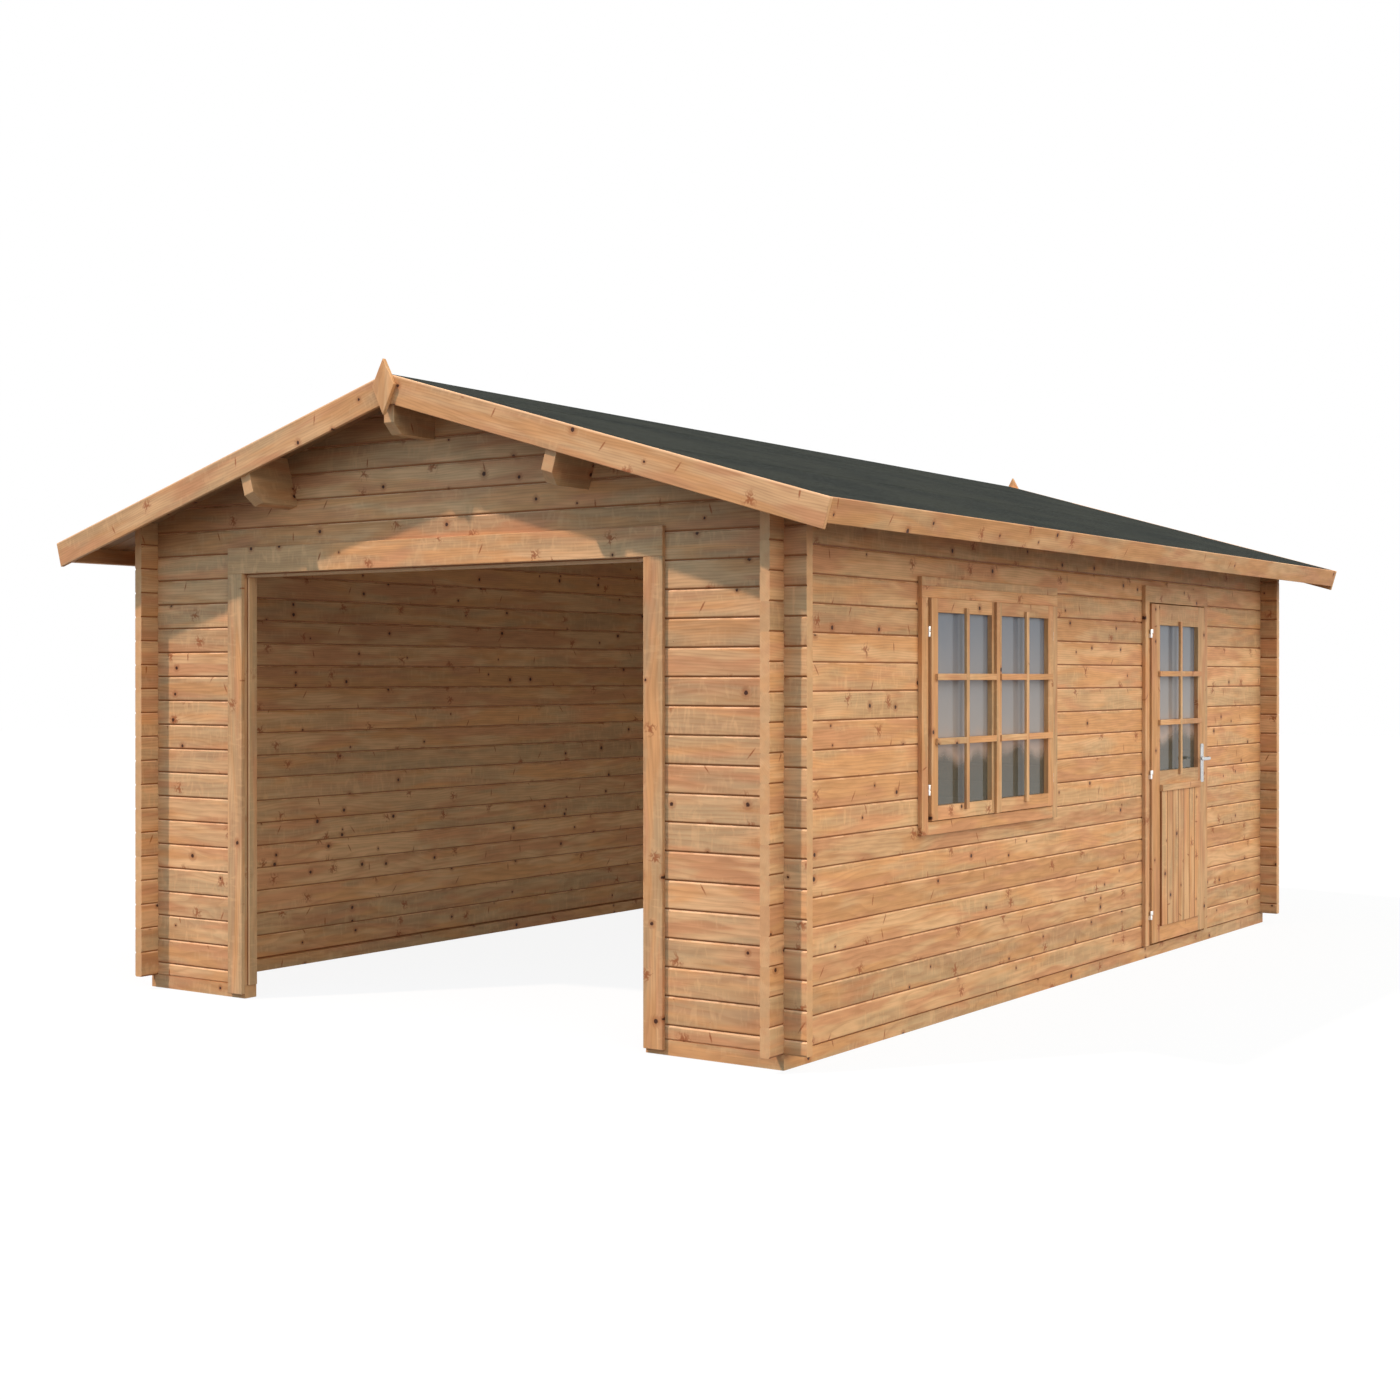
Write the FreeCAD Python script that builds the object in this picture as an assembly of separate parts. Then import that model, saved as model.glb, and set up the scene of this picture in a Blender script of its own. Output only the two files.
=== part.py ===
import FreeCAD, Part
import math
import os

# Wooden log garage, in millimetres. +X is the side with the window and the side door,
# -Y is the front gable with the wide doorway, +Z is up, and the ground is Z = 0.
# The outside faces of the walls are centred on X = 0 and Y = 0.

# Walls
WALL_W = 3580.0          # outside width, across the gable
WALL_L = 5460.0          # outside length
LOG_T = 44.0             # thickness of a log
LOG_H = 114.0            # cover height of a log
BEVEL_H = 7.0            # bevel on a log's long edges, up the log's face
BEVEL_T = 5.0            # the same bevel, into the log
LOG_END = 100.0          # crossed log ends past the wall face
SIDE_COURSES = 19        # logs in a side wall, the last one under the eave
NOTCH_PLAY = 0.5         # room round a log in a corner notch
NOSE_MIN = 4.0           # least height of a gable log's sloping end
SCRAP = 1000.0           # smaller solids than this are shavings, and are dropped
CLEAR = 1.0              # cutters stand this far past what they cut
BEYOND = 900.0           # cutters that trim a whole wall stand this far past it

# Foundation beams
BASE_H = 60.0
BASE_W = 70.0

# Roof
PITCH = 16.25            # degrees
EAVE_TRIM = 17.0         # bevel taken off the top side log at its outer face
BOARD_T = 19.0
FELT_T = 4.0
EAVE_OUT = 356.0         # roof boards past the side wall's face, along the slope
GABLE_OUT = 252.0        # roof boards past the gable walls
PURLIN_T = 58.0
PURLIN_D = 228.0
PURLIN_NOSE = 48.0       # bevel under a purlin's end
TRIM_T = 18.0            # thickness of barge boards and fascias
BARGE_W = 118.0
FASCIA_W = 95.0
FINIAL_W = 124.0
FINIAL_H = 236.0
FINIAL_WAIST = 0.52      # its widest place, as a share of its height from the foot
FINIAL_UP = 60.0         # finial's point above the roof's peak
FINIAL_T = 20.0

# Wide doorway in the front gable
GATE_W = 2292.0          # clear width
GATE_TOP = 1962.0        # height of the clear opening's head
GATE_LINING = 30.0
GATE_DEPTH = 64.0        # lining, from the wall's face inwards
GATE_REBATE = 15.0       # depth in front of the stop
GATE_STOP = 12.0         # stop into the opening at each side
GATE_HEAD_STOP = 16.0    # stop below the head
GATE_CASING_W = 94.0
GATE_HEAD_W = 120.0
GATE_CASING_FOOT = 20.0  # casing ends this far above the ground

# Casings and frames of the window and the side door
CASING_T = 20.0
CASING_W = 56.0
CAP_W = 38.0             # upper board of a head casing
HEAD_W = 50.0            # lower board of a head casing
DOOR_CASING_FOOT = 8.0   # side door's casing ends this far above the foundation
LINING = 30.0

# Window
WINDOW_Y = -983.0        # centre
SASH_Z0 = 875.0
SASH_Z1 = 1822.0
SASHES_W = 1233.0        # both sashes with their meeting gap
MEET_Y = -975.0          # middle of the gap between the sashes
MEET_GAP = 6.0
MEET_STILE_W = 47.0      # the two stiles that meet
STRIP_W = 34.0           # strip over the gap between the sashes
SASH_GAP = 12.0          # room round the pair of sashes
SASH_T = 44.0
SASH_PROUD = 30.0        # front of the sashes past the wall's face
STILE_W = 58.0
SASH_RAIL = 60.0
SILL_GAP = 4.0           # room under the sashes
HEAD_GAP = 1.0           # room over the sashes
GLASS_T = 4.0
GLASS_BACK = 22.0        # front of the glass behind the sash's front
GLASS_LAP = 9.0          # glass held in the groove of its frame
GLASS_PLAY = 0.4
BAR_W = 28.0
BAR_T = 13.0
BAR_LAP = 24.0           # glazing bars run this far over the rails

# Side door
DOOR_Y = 1270.0          # centre
LEAF_W = 793.0
LEAF_Z0 = 78.0
LEAF_Z1 = 1873.0
LEAF_T = 44.0
LEAF_PROUD = 30.0
LEAF_GAP = 6.0
STOP_GAP = 5.0           # room between the leaf's back and the stop
STOP_IN = 14.0           # stop past the lining, behind the leaf
LEAF_STILE = 114.0
LEAF_TOP_RAIL = 111.0
LEAF_MID_RAIL_Z1 = 984.0
PANEL_Z0 = 160.0
PANEL_Z1 = 878.0
PANEL_T = 18.0
PANEL_PROUD = 10.0       # front of the board panel past the leaf's front
PANEL_LAP = 20.0         # the panel laps this far onto stiles and rails
BATTEN_H = 33.0          # batten over the panel's top edge
BATTEN_T = 18.0

# Hinges and lock
BARREL_R = 7.0
BARREL_H = 46.0
BARREL_SPLIT = 1.0
PIN_R = 3.0
PIN_H = 20.0             # pin standing up into the moving half
PIN_PLAY = 0.4           # room round the pin
WINDOW_HINGE_OUT = 1.0   # window hinges' axis past the casing's face
WEB_IN = 16.0            # web of a window hinge, back into the gap
BARREL_SIDE = 12.0       # door hinges' axis past the leaf's edge
WING_T = 3.0             # hinge wing on the leaf's face
WING_W = 12.0
DOOR_HINGE_Z = (228.0, 970.0, 1715.0)
WINDOW_HINGE_Z = (1006.0, 1679.0)
SIDES = 12               # sides of the outlines that stand for round holes and pins
PLATE_W = 44.0
PLATE_Z0 = 900.0
PLATE_Z1 = 1114.0
PLATE_T = 5.0
PLATE_EDGE = 60.0        # plate's centre in from the leaf's free edge
LEVER_Z = 1033.0
LEVER_OUT = 52.0         # outside of the grip past the leaf's face
LEVER_L = 112.0          # spindle to the middle of the grip's round end
LEVER_PLAY = 1.0         # room round a lever's neck in its plate
NECK_R = 8.0
GRIP_T = 10.0
GRIP_H = 18.0
SPINDLE = 8.0            # square spindle
SPINDLE_IN = 2.0         # necks end this far inside the leaf's faces
SPINDLE_HOLE = 26.0      # square hole through the leaf
KEYHOLE_Z = 952.0
KEY_W = 5.0
KEY_H = 16.0

# Places worked out from the sizes above
HALF_W = WALL_W / 2
HALF_L = WALL_L / 2
SLOPE = math.radians(PITCH)
SIN = math.sin(SLOPE)
COS = math.cos(SLOPE)
EAVE_Z = BASE_H + SIDE_COURSES * LOG_H - EAVE_TRIM
PEAK_Z = EAVE_Z + HALF_W * math.tan(SLOPE)
GATE_HALF = GATE_W / 2
SASH_FRONT = HALF_W + SASH_PROUD
LEAF_FRONT = HALF_W + LEAF_PROUD
LEAF_BACK = LEAF_FRONT - LEAF_T
WINDOW_Y0 = WINDOW_Y - SASHES_W / 2
WINDOW_Y1 = WINDOW_Y + SASHES_W / 2
LEAF_Y0 = DOOR_Y - LEAF_W / 2
LEAF_Y1 = DOOR_Y + LEAF_W / 2
GABLE_END = HALF_L + GABLE_OUT


def box(x0, x1, y0, y1, z0, z1):
    return Part.makeBox(x1 - x0, y1 - y0, z1 - z0, FreeCAD.Vector(x0, y0, z0))


def slab(points, axis, start, end):
    # A flat outline drawn across an axis and pushed along it. For "y" the points are
    # (x, z), for "x" they are (y, z) and for "z" they are (x, y).
    if axis == "y":
        corners = [FreeCAD.Vector(p, start, q) for p, q in points]
        push = FreeCAD.Vector(0, end - start, 0)
    elif axis == "x":
        corners = [FreeCAD.Vector(start, p, q) for p, q in points]
        push = FreeCAD.Vector(end - start, 0, 0)
    else:
        corners = [FreeCAD.Vector(p, q, start) for p, q in points]
        push = FreeCAD.Vector(0, 0, end - start)
    face = Part.Face(Part.makePolygon(corners + corners[:1]))
    return face.extrude(push)


def rounded(p, q, radius, start, end, steps):
    # Points along an arc, in degrees, for outlines that stand for round shapes.
    angles = [math.radians(start + (end - start) * k / steps) for k in range(steps + (end - start < 360))]
    return [(p + radius * math.cos(a), q + radius * math.sin(a)) for a in angles]


def mirror_x(shape):
    return shape.mirror(FreeCAD.Vector(0, 0, 0), FreeCAD.Vector(1, 0, 0))


def mirror_y(shape):
    return shape.mirror(FreeCAD.Vector(0, 0, 0), FreeCAD.Vector(0, 1, 0))


def save(name, solids):
    shape = solids[0] if len(solids) == 1 else Part.makeCompound(solids)
    shape.exportStep("parts/" + name + ".step")


os.makedirs("parts", exist_ok=True)


# Logs
def log(axis, middle, start, end, z, height):
    # One log along an axis, its four long edges bevelled so that joints show as grooves.
    half = LOG_T / 2
    flat = half - BEVEL_T
    low = z + BEVEL_H
    top = z + height
    high = top - BEVEL_H
    outline = [(-flat, z), (flat, z), (half, low), (half, high),
               (flat, top), (-flat, top), (-half, high), (-half, low)]
    return slab([(middle + u, v) for u, v in outline], axis, start, end)


def notch(shape, axis, place, z0, z1):
    # Cuts a corner notch for a crossing wall whose middle is at a place along the log.
    reach = LOG_T / 2 + NOTCH_PLAY
    far = HALF_W + HALF_L
    if axis == "y":
        cutter = box(-far, far, place - reach, place + reach, z0, z1)
    else:
        cutter = box(place - reach, place + reach, -far, far, z0, z1)
    return shape.cut(cutter)


def log_pieces(axis, middle, z, height, openings, notches, trims):
    # The pieces of one course: split at each opening that spans its whole height, cut
    # by each opening that takes part of it, then notched and trimmed.
    reach = (HALF_L if axis == "y" else HALF_W) + LOG_END
    spans = [(-reach, reach)]
    part_cuts = []
    for low, high, z0, z1 in openings:
        if z0 <= z + CLEAR / 2 and z1 >= z + height - CLEAR / 2:
            split = []
            for start, end in spans:
                if low > start and high < end:
                    split += [(start, low), (high, end)]
                else:
                    split.append((start, end))
            spans = split
        elif z0 < z + height and z1 > z:
            part_cuts.append((low, high, z0, z1))
    pieces = []
    for start, end in spans:
        piece = log(axis, middle, start, end, z, height)
        for low, high, z0, z1 in part_cuts:
            wide = LOG_T
            if axis == "y":
                piece = piece.cut(box(middle - wide, middle + wide, low, high, z0, z1))
            else:
                piece = piece.cut(box(low, high, middle - wide, middle + wide, z0, z1))
        for place, z0, z1 in notches:
            if start < place < end:
                piece = notch(piece, axis, place, z0, z1)
        for trim in trims:
            piece = piece.cut(trim)
        pieces += [solid for solid in piece.Solids if solid.Volume > SCRAP]
    return pieces


WALL_MID_X = HALF_W - LOG_T / 2
WALL_MID_Y = HALF_L - LOG_T / 2
QUARTER = LOG_H / 4
ABOVE = PEAK_Z + BEYOND

# Everything over the underside of the roof boards, taken off logs and ridge purlin.
ROOF_FAR = HALF_W + BEYOND
ROOF_FAR_Z = PEAK_Z - ROOF_FAR * math.tan(SLOPE)
OVER_ROOF = slab(
    [(-ROOF_FAR, ROOF_FAR_Z), (0, PEAK_Z), (ROOF_FAR, ROOF_FAR_Z), (ROOF_FAR, ABOVE), (-ROOF_FAR, ABOVE)],
    "y", -GABLE_END - BEYOND, GABLE_END + BEYOND)


def on_slope(along, up):
    # A point on the +X roof slope: along it from the peak, and up from its underside.
    return (along * COS + up * SIN, PEAK_Z - along * SIN + up * COS)


# Purlins: the ridge one upright with its top cut to the roof, the side ones square to
# the slope. Both ends of each are bevelled below.
NOSE_TOP = PURLIN_NOSE - PURLIN_D
PURLIN_SIDE = [
    (-GABLE_END, 0), (GABLE_END, 0), (GABLE_END, NOSE_TOP), (GABLE_END - PURLIN_NOSE, -PURLIN_D),
    (PURLIN_NOSE - GABLE_END, -PURLIN_D), (-GABLE_END, NOSE_TOP)]
PURLIN = slab(PURLIN_SIDE, "x", -PURLIN_T / 2, PURLIN_T / 2)
# The slot that a purlin needs in the gable logs, open upwards.
SEAT_HALF = PURLIN_T / 2 + NOTCH_PLAY
PURLIN_SEAT = box(-SEAT_HALF, SEAT_HALF, -GABLE_END, GABLE_END, -PURLIN_D, PURLIN_D)
PURLIN_X, PURLIN_Z = on_slope(HALF_W / 2 / COS, 0)


def under_ridge(shape):
    placed = shape.copy()
    placed.translate(FreeCAD.Vector(0, 0, PEAK_Z))
    return placed


def under_slope(shape):
    placed = shape.copy()
    placed.rotate(FreeCAD.Vector(0, 0, 0), FreeCAD.Vector(0, 1, 0), PITCH)
    placed.translate(FreeCAD.Vector(PURLIN_X, 0, PURLIN_Z))
    return placed


side_purlin = under_slope(PURLIN)
save("ridge_purlin", [under_ridge(PURLIN).cut(OVER_ROOF)])
save("side_purlins", [mirror_x(side_purlin), side_purlin])
SEATS = [under_ridge(PURLIN_SEAT), under_slope(PURLIN_SEAT), mirror_x(under_slope(PURLIN_SEAT))]

# Side walls: whole logs from the foundation up. The right wall is cut for the window and
# the side door.
WINDOW_CUT = (WINDOW_Y0 - SASH_GAP - LINING, WINDOW_Y1 + SASH_GAP + LINING,
              SASH_Z0 - SASH_GAP - LINING, SASH_Z1 + SASH_GAP + LINING)
DOOR_CUT = (LEAF_Y0 - LEAF_GAP - LINING, LEAF_Y1 + LEAF_GAP + LINING,
            BASE_H - CLEAR, LEAF_Z1 + LEAF_GAP + LINING)
GATE_CUT = (-GATE_HALF - GATE_LINING, GATE_HALF + GATE_LINING,
            BASE_H - CLEAR, GATE_TOP + GATE_LINING)

for name, side, openings in (("left_wall", -1, []), ("right_wall", 1, [WINDOW_CUT, DOOR_CUT])):
    sets = ([], [])
    for course in range(SIDE_COURSES):
        z = BASE_H + course * LOG_H
        last = course == SIDE_COURSES - 1
        notches = []
        for place in (-WALL_MID_Y, WALL_MID_Y):
            top = z + LOG_H / 2 if last else z + 3 * QUARTER
            notches.append((place, top, z + LOG_H + CLEAR))
            notches.append((place, z - CLEAR, z + QUARTER))
        sets[course % 2].extend(log_pieces(
            "y", side * WALL_MID_X, z, LOG_H, openings, notches, [OVER_ROOF] if last else []))
    save(name + "_logs_a", sets[0])
    save(name + "_logs_b", sets[1])


def gable_reach(z):
    # Half the length of a gable log whose foot is at a height, down to its thin ends.
    return (PEAK_Z - z - NOSE_MIN) / math.tan(SLOPE)


# End walls: a half log first, then whole logs up into the gable, cut to the roof slope.
for name, side, openings in (("front_wall", -1, [GATE_CUT]), ("back_wall", 1, [])):
    sets = ([], [])
    course = 0
    z = BASE_H
    while gable_reach(z) > 2 * PURLIN_T:
        height = LOG_H / 2 if course == 0 else LOG_H
        gable = z + height > EAVE_Z
        trims = []
        if gable:
            far_y = HALF_L + BEYOND
            ends = (box(gable_reach(z), ROOF_FAR, -far_y, far_y, z - CLEAR, ABOVE),
                    box(-ROOF_FAR, -gable_reach(z), -far_y, far_y, z - CLEAR, ABOVE))
            trims = [OVER_ROOF, *SEATS, *ends]
        notches = []
        for place in (-WALL_MID_X, WALL_MID_X):
            if not gable:
                low = QUARTER if course == 0 else 3 * QUARTER
                notches.append((place, z + low, z + height + CLEAR))
            if course > 0 and not gable:
                notches.append((place, z - CLEAR, z + QUARTER))
        sets[course % 2].extend(log_pieces("x", side * WALL_MID_Y, z, height, openings, notches, trims))
        z += height
        course += 1
    save(name + "_logs_a", sets[0])
    save(name + "_logs_b", sets[1])

# Foundation beams, mitred at the corners and stopped at the wide doorway.
INNER_X = HALF_W - BASE_W
INNER_Y = HALF_L - BASE_W
right_beam = slab(
    [(HALF_W, -HALF_L), (HALF_W, HALF_L), (INNER_X, INNER_Y), (INNER_X, -INNER_Y)], "z", 0, BASE_H)
back_beam = slab(
    [(-HALF_W, HALF_L), (HALF_W, HALF_L), (INNER_X, INNER_Y), (-INNER_X, INNER_Y)], "z", 0, BASE_H)
front_beam = slab(
    [(GATE_HALF, -HALF_L), (HALF_W, -HALF_L), (INNER_X, -INNER_Y), (GATE_HALF, -INNER_Y)], "z", 0, BASE_H)
save("foundation_right", [right_beam])
save("foundation_left", [mirror_x(right_beam)])
save("foundation_back", [back_beam])
save("foundation_front", [mirror_x(front_beam), front_beam])

# Roof boards and felt, as one sheet of each on each slope.
EAVE_ALONG = HALF_W / COS + EAVE_OUT


def roof_sheet(low, high, y_end):
    # A layer between two heights over the slope's underside, plumb at the peak.
    peak_low = (0, PEAK_Z + low / COS)
    peak_high = (0, PEAK_Z + high / COS)
    return slab(
        [peak_low, on_slope(EAVE_ALONG, low), on_slope(EAVE_ALONG, high), peak_high], "y", -y_end, y_end)


roof_right = roof_sheet(0, BOARD_T, GABLE_END)
felt_right = roof_sheet(BOARD_T, BOARD_T + FELT_T, GABLE_END)
save("roof_boards_right", [roof_right])
save("roof_boards_left", [mirror_x(roof_right)])
save("roof_felt_right", [felt_right])
save("roof_felt_left", [mirror_x(felt_right)])

# Barge boards on the gable ends, plumb at the peak and square at the eave, and fascias
# along the eaves between them.
ROOF_TOP = BOARD_T + FELT_T
BARGE_END = EAVE_ALONG + TRIM_T
barge = slab(
    [(0, PEAK_Z + (ROOF_TOP - BARGE_W) / COS), on_slope(BARGE_END, ROOF_TOP - BARGE_W),
     on_slope(BARGE_END, ROOF_TOP), (0, PEAK_Z + ROOF_TOP / COS)],
    "y", -GABLE_END - TRIM_T, -GABLE_END)
save("barge_boards_right", [barge, mirror_y(barge)])
save("barge_boards_left", [mirror_x(barge), mirror_x(mirror_y(barge))])
fascia = slab(
    [on_slope(EAVE_ALONG, ROOF_TOP - FASCIA_W), on_slope(BARGE_END, ROOF_TOP - FASCIA_W),
     on_slope(BARGE_END, ROOF_TOP), on_slope(EAVE_ALONG, ROOF_TOP)],
    "y", -GABLE_END, GABLE_END)
save("eave_fascias", [mirror_x(fascia), fascia])

# Finials: pointed boards over the joint of the barge boards.
finial_top = PEAK_Z + ROOF_TOP / COS + FINIAL_UP
finial_foot = finial_top - FINIAL_H
finial_waist = finial_foot + FINIAL_H * FINIAL_WAIST
finial = slab(
    [(0, finial_foot), (FINIAL_W / 2, finial_waist), (0, finial_top), (-FINIAL_W / 2, finial_waist)],
    "y", -GABLE_END - TRIM_T - FINIAL_T, -GABLE_END - TRIM_T)
save("gable_finials", [finial, mirror_y(finial)])

# Wide doorway: a lining through the wall with a stop round its inner part, and casing
# boards on its front.
FRONT = -HALF_L
head_lining = slab(
    [(FRONT, GATE_TOP + GATE_LINING), (FRONT + GATE_DEPTH, GATE_TOP + GATE_LINING),
     (FRONT + GATE_DEPTH, GATE_TOP - GATE_HEAD_STOP), (FRONT + GATE_REBATE, GATE_TOP - GATE_HEAD_STOP),
     (FRONT + GATE_REBATE, GATE_TOP), (FRONT, GATE_TOP)],
    "x", -GATE_HALF - GATE_LINING, GATE_HALF + GATE_LINING)
save("garage_head_lining", [head_lining])
jamb = slab(
    [(GATE_HALF + GATE_LINING, FRONT), (GATE_HALF + GATE_LINING, FRONT + GATE_DEPTH),
     (GATE_HALF - GATE_STOP, FRONT + GATE_DEPTH), (GATE_HALF - GATE_STOP, FRONT + GATE_REBATE),
     (GATE_HALF, FRONT + GATE_REBATE), (GATE_HALF, FRONT)],
    "z", BASE_H, GATE_TOP).cut(head_lining)
save("garage_jambs", [mirror_x(jamb), jamb])
casing_x = GATE_HALF + GATE_CASING_W
gate_casing = box(GATE_HALF, casing_x, FRONT - CASING_T, FRONT, GATE_CASING_FOOT, GATE_TOP)
save("garage_side_casings", [mirror_x(gate_casing), gate_casing])
head_casing = box(-casing_x, casing_x, FRONT - CASING_T, FRONT, GATE_TOP, GATE_TOP + GATE_HEAD_W)
save("garage_head_casing", [head_casing])


def frame_ring(x0, x1, y0, y1, z0, z1, wide):
    outer = box(x0, x1, y0, y1, z0, z1)
    return outer.cut(box(x0 - CLEAR, x1 + CLEAR, y0 + wide, y1 - wide, z0 + wide, z1 - wide))


# Window: lining, casing, two sashes with their glass and applied glazing bars.
FRAME_BACK = HALF_W - LOG_T
save("window_frame", [frame_ring(FRAME_BACK, HALF_W, *WINDOW_CUT, LINING)])
casing_y0 = WINDOW_Y0 - SASH_GAP - CASING_W
casing_y1 = WINDOW_Y1 + SASH_GAP + CASING_W
casing_in0 = WINDOW_Y0 - SASH_GAP
casing_in1 = WINDOW_Y1 + SASH_GAP
casing_z0 = SASH_Z0 - CASING_W - SILL_GAP
head_z = SASH_Z1 + HEAD_GAP
casing = [
    box(HALF_W, HALF_W + CASING_T, casing_y0, casing_in0, casing_z0, head_z),
    box(HALF_W, HALF_W + CASING_T, casing_in1, casing_y1, casing_z0, head_z),
    box(HALF_W, HALF_W + CASING_T, casing_in0, casing_in1, casing_z0, SASH_Z0 - SILL_GAP),
    box(HALF_W, HALF_W + CASING_T, casing_y0, casing_y1, head_z, head_z + HEAD_W),
    box(HALF_W, HALF_W + CASING_T, casing_y0, casing_y1, head_z + HEAD_W, head_z + HEAD_W + CAP_W)]
window_casing = casing[0].fuse(casing[1:]).removeSplitter()
save("window_casing", [window_casing])


def glazed_frame(front, thick, y0, y1, z0, z1, glass_y0, glass_y1, glass_z0, glass_z1):
    # A frame with one glass opening and a groove round it that holds the pane.
    solid = box(front - thick, front, y0, y1, z0, z1)
    solid = solid.cut(box(front - thick - CLEAR, front + CLEAR, glass_y0, glass_y1, glass_z0, glass_z1))
    deep = GLASS_LAP + GLASS_PLAY
    groove = box(front - GLASS_BACK - GLASS_T - GLASS_PLAY, front - GLASS_BACK + GLASS_PLAY,
                 glass_y0 - deep, glass_y1 + deep, glass_z0 - deep, glass_z1 + deep)
    pane = box(front - GLASS_BACK - GLASS_T, front - GLASS_BACK,
               glass_y0 - GLASS_LAP, glass_y1 + GLASS_LAP, glass_z0 - GLASS_LAP, glass_z1 + GLASS_LAP)
    return solid.cut(groove), pane


def bar_grid(front, y0, y1, z0, z1):
    # One upright and two level glazing bars over a glass opening, lapped on its rails.
    half = BAR_W / 2
    middle = (y0 + y1) / 2
    grid = box(front, front + BAR_T, middle - half, middle + half, z0 - BAR_LAP, z1 + BAR_LAP)
    for third in (1, 2):
        z = z0 + (z1 - z0) * third / 3
        grid = grid.fuse(box(front, front + BAR_T, y0 - BAR_LAP, y1 + BAR_LAP, z - half, z + half))
    return grid.removeSplitter()


sashes = []
panes = []
grids = []
glass_z0 = SASH_Z0 + SASH_RAIL
glass_z1 = SASH_Z1 - SASH_RAIL
meet_y0 = MEET_Y - MEET_GAP / 2
meet_y1 = MEET_Y + MEET_GAP / 2
for y0, y1, stile0, stile1 in (
        (WINDOW_Y0, meet_y0, STILE_W, MEET_STILE_W), (meet_y1, WINDOW_Y1, MEET_STILE_W, STILE_W)):
    glass_y0 = y0 + stile0
    glass_y1 = y1 - stile1
    sash, pane = glazed_frame(
        SASH_FRONT, SASH_T, y0, y1, SASH_Z0, SASH_Z1, glass_y0, glass_y1, glass_z0, glass_z1)
    sashes.append(sash)
    panes.append(pane)
    grids.append(bar_grid(SASH_FRONT, glass_y0, glass_y1, glass_z0, glass_z1))
save("window_sash_front", [sashes[0]])
save("window_sash_rear", [sashes[1]])
save("window_glass", panes)
save("window_bars", grids)

# The strip that covers the gap between the sashes, from where the front sash's level bars
# end.
strip_y0 = meet_y0 - MEET_STILE_W + BAR_LAP
meeting_strip = box(SASH_FRONT, SASH_FRONT + BAR_T, strip_y0, strip_y0 + STRIP_W, SASH_Z0, SASH_Z1)
save("window_meeting_strip", [meeting_strip])

# Window hinges: many-sided barrels in the gap between casing and sash, on webs that fill
# the gap and hold both.
barrels = []
barrel_r = SASH_GAP / 2
barrel_x = HALF_W + CASING_T + WINDOW_HINGE_OUT
for z in WINDOW_HINGE_Z:
    for y in (WINDOW_Y0 - barrel_r, WINDOW_Y1 + barrel_r):
        z0 = z - BARREL_H / 2
        z1 = z + BARREL_H / 2
        web = box(barrel_x - WEB_IN, barrel_x, y - barrel_r, y + barrel_r, z0, z1)
        barrel = slab(rounded(barrel_x, y, barrel_r, 0, 360, SIDES), "z", z0, z1)
        barrels.append(barrel.fuse(web).removeSplitter())
save("window_hinges", barrels)

# Side door: lining with a stop behind the leaf, and casing.
frame_y0 = DOOR_CUT[0]
frame_y1 = DOOR_CUT[1]
frame_z1 = DOOR_CUT[3]
stop_front = LEAF_BACK - STOP_GAP
door_frame = box(FRAME_BACK, HALF_W, frame_y0, frame_y1, BASE_H, frame_z1)
door_frame = door_frame.cut(box(
    FRAME_BACK - CLEAR, HALF_W + CLEAR, frame_y0 + LINING + STOP_IN, frame_y1 - LINING - STOP_IN,
    LEAF_Z0 + STOP_IN, frame_z1 - LINING - STOP_IN))
door_frame = door_frame.cut(box(
    stop_front, HALF_W + CLEAR, frame_y0 + LINING, frame_y1 - LINING, BASE_H - CLEAR, frame_z1 - LINING))
save("door_frame", [door_frame])
casing_y0 = LEAF_Y0 - LEAF_GAP - CASING_W
casing_y1 = LEAF_Y1 + LEAF_GAP + CASING_W
casing_foot = BASE_H + DOOR_CASING_FOOT
head_z = LEAF_Z1 + LEAF_GAP
casing = [
    box(HALF_W, HALF_W + CASING_T, casing_y0, LEAF_Y0 - LEAF_GAP, casing_foot, head_z),
    box(HALF_W, HALF_W + CASING_T, LEAF_Y1 + LEAF_GAP, casing_y1, casing_foot, head_z),
    box(HALF_W, HALF_W + CASING_T, casing_y0, casing_y1, head_z, head_z + HEAD_W + CAP_W)]
save("door_casing", [casing[0].fuse(casing[1:]).removeSplitter()])

# The leaf is glazed above. Below it is open behind a board panel, which is let into its
# front and stands out past it under a batten.
inner_y0 = LEAF_Y0 + LEAF_STILE
inner_y1 = LEAF_Y1 - LEAF_STILE
glass_z1 = LEAF_Z1 - LEAF_TOP_RAIL
leaf, pane = glazed_frame(
    LEAF_FRONT, LEAF_T, LEAF_Y0, LEAF_Y1, LEAF_Z0, LEAF_Z1, inner_y0, inner_y1, LEAF_MID_RAIL_Z1, glass_z1)
leaf = leaf.cut(box(LEAF_BACK - CLEAR, LEAF_FRONT + CLEAR, inner_y0 + PANEL_LAP, inner_y1 - PANEL_LAP,
                    PANEL_Z0 + PANEL_LAP, PANEL_Z1 - PANEL_LAP))
panel_front = LEAF_FRONT + PANEL_PROUD
panel = box(panel_front - PANEL_T, panel_front, inner_y0, inner_y1, PANEL_Z0, PANEL_Z1)
leaf = leaf.cut(panel)
batten = box(LEAF_FRONT, LEAF_FRONT + BATTEN_T, inner_y0, inner_y1, PANEL_Z1, PANEL_Z1 + BATTEN_H)
plate_y = LEAF_Y1 - PLATE_EDGE
hole = SPINDLE_HOLE / 2
leaf = leaf.cut(box(
    LEAF_BACK - CLEAR, LEAF_FRONT + CLEAR, plate_y - hole, plate_y + hole, LEVER_Z - hole, LEVER_Z + hole))
save("door_leaf", [leaf])
save("door_glass", [pane])
save("door_panel", [panel])
save("door_batten", [batten])
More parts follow.
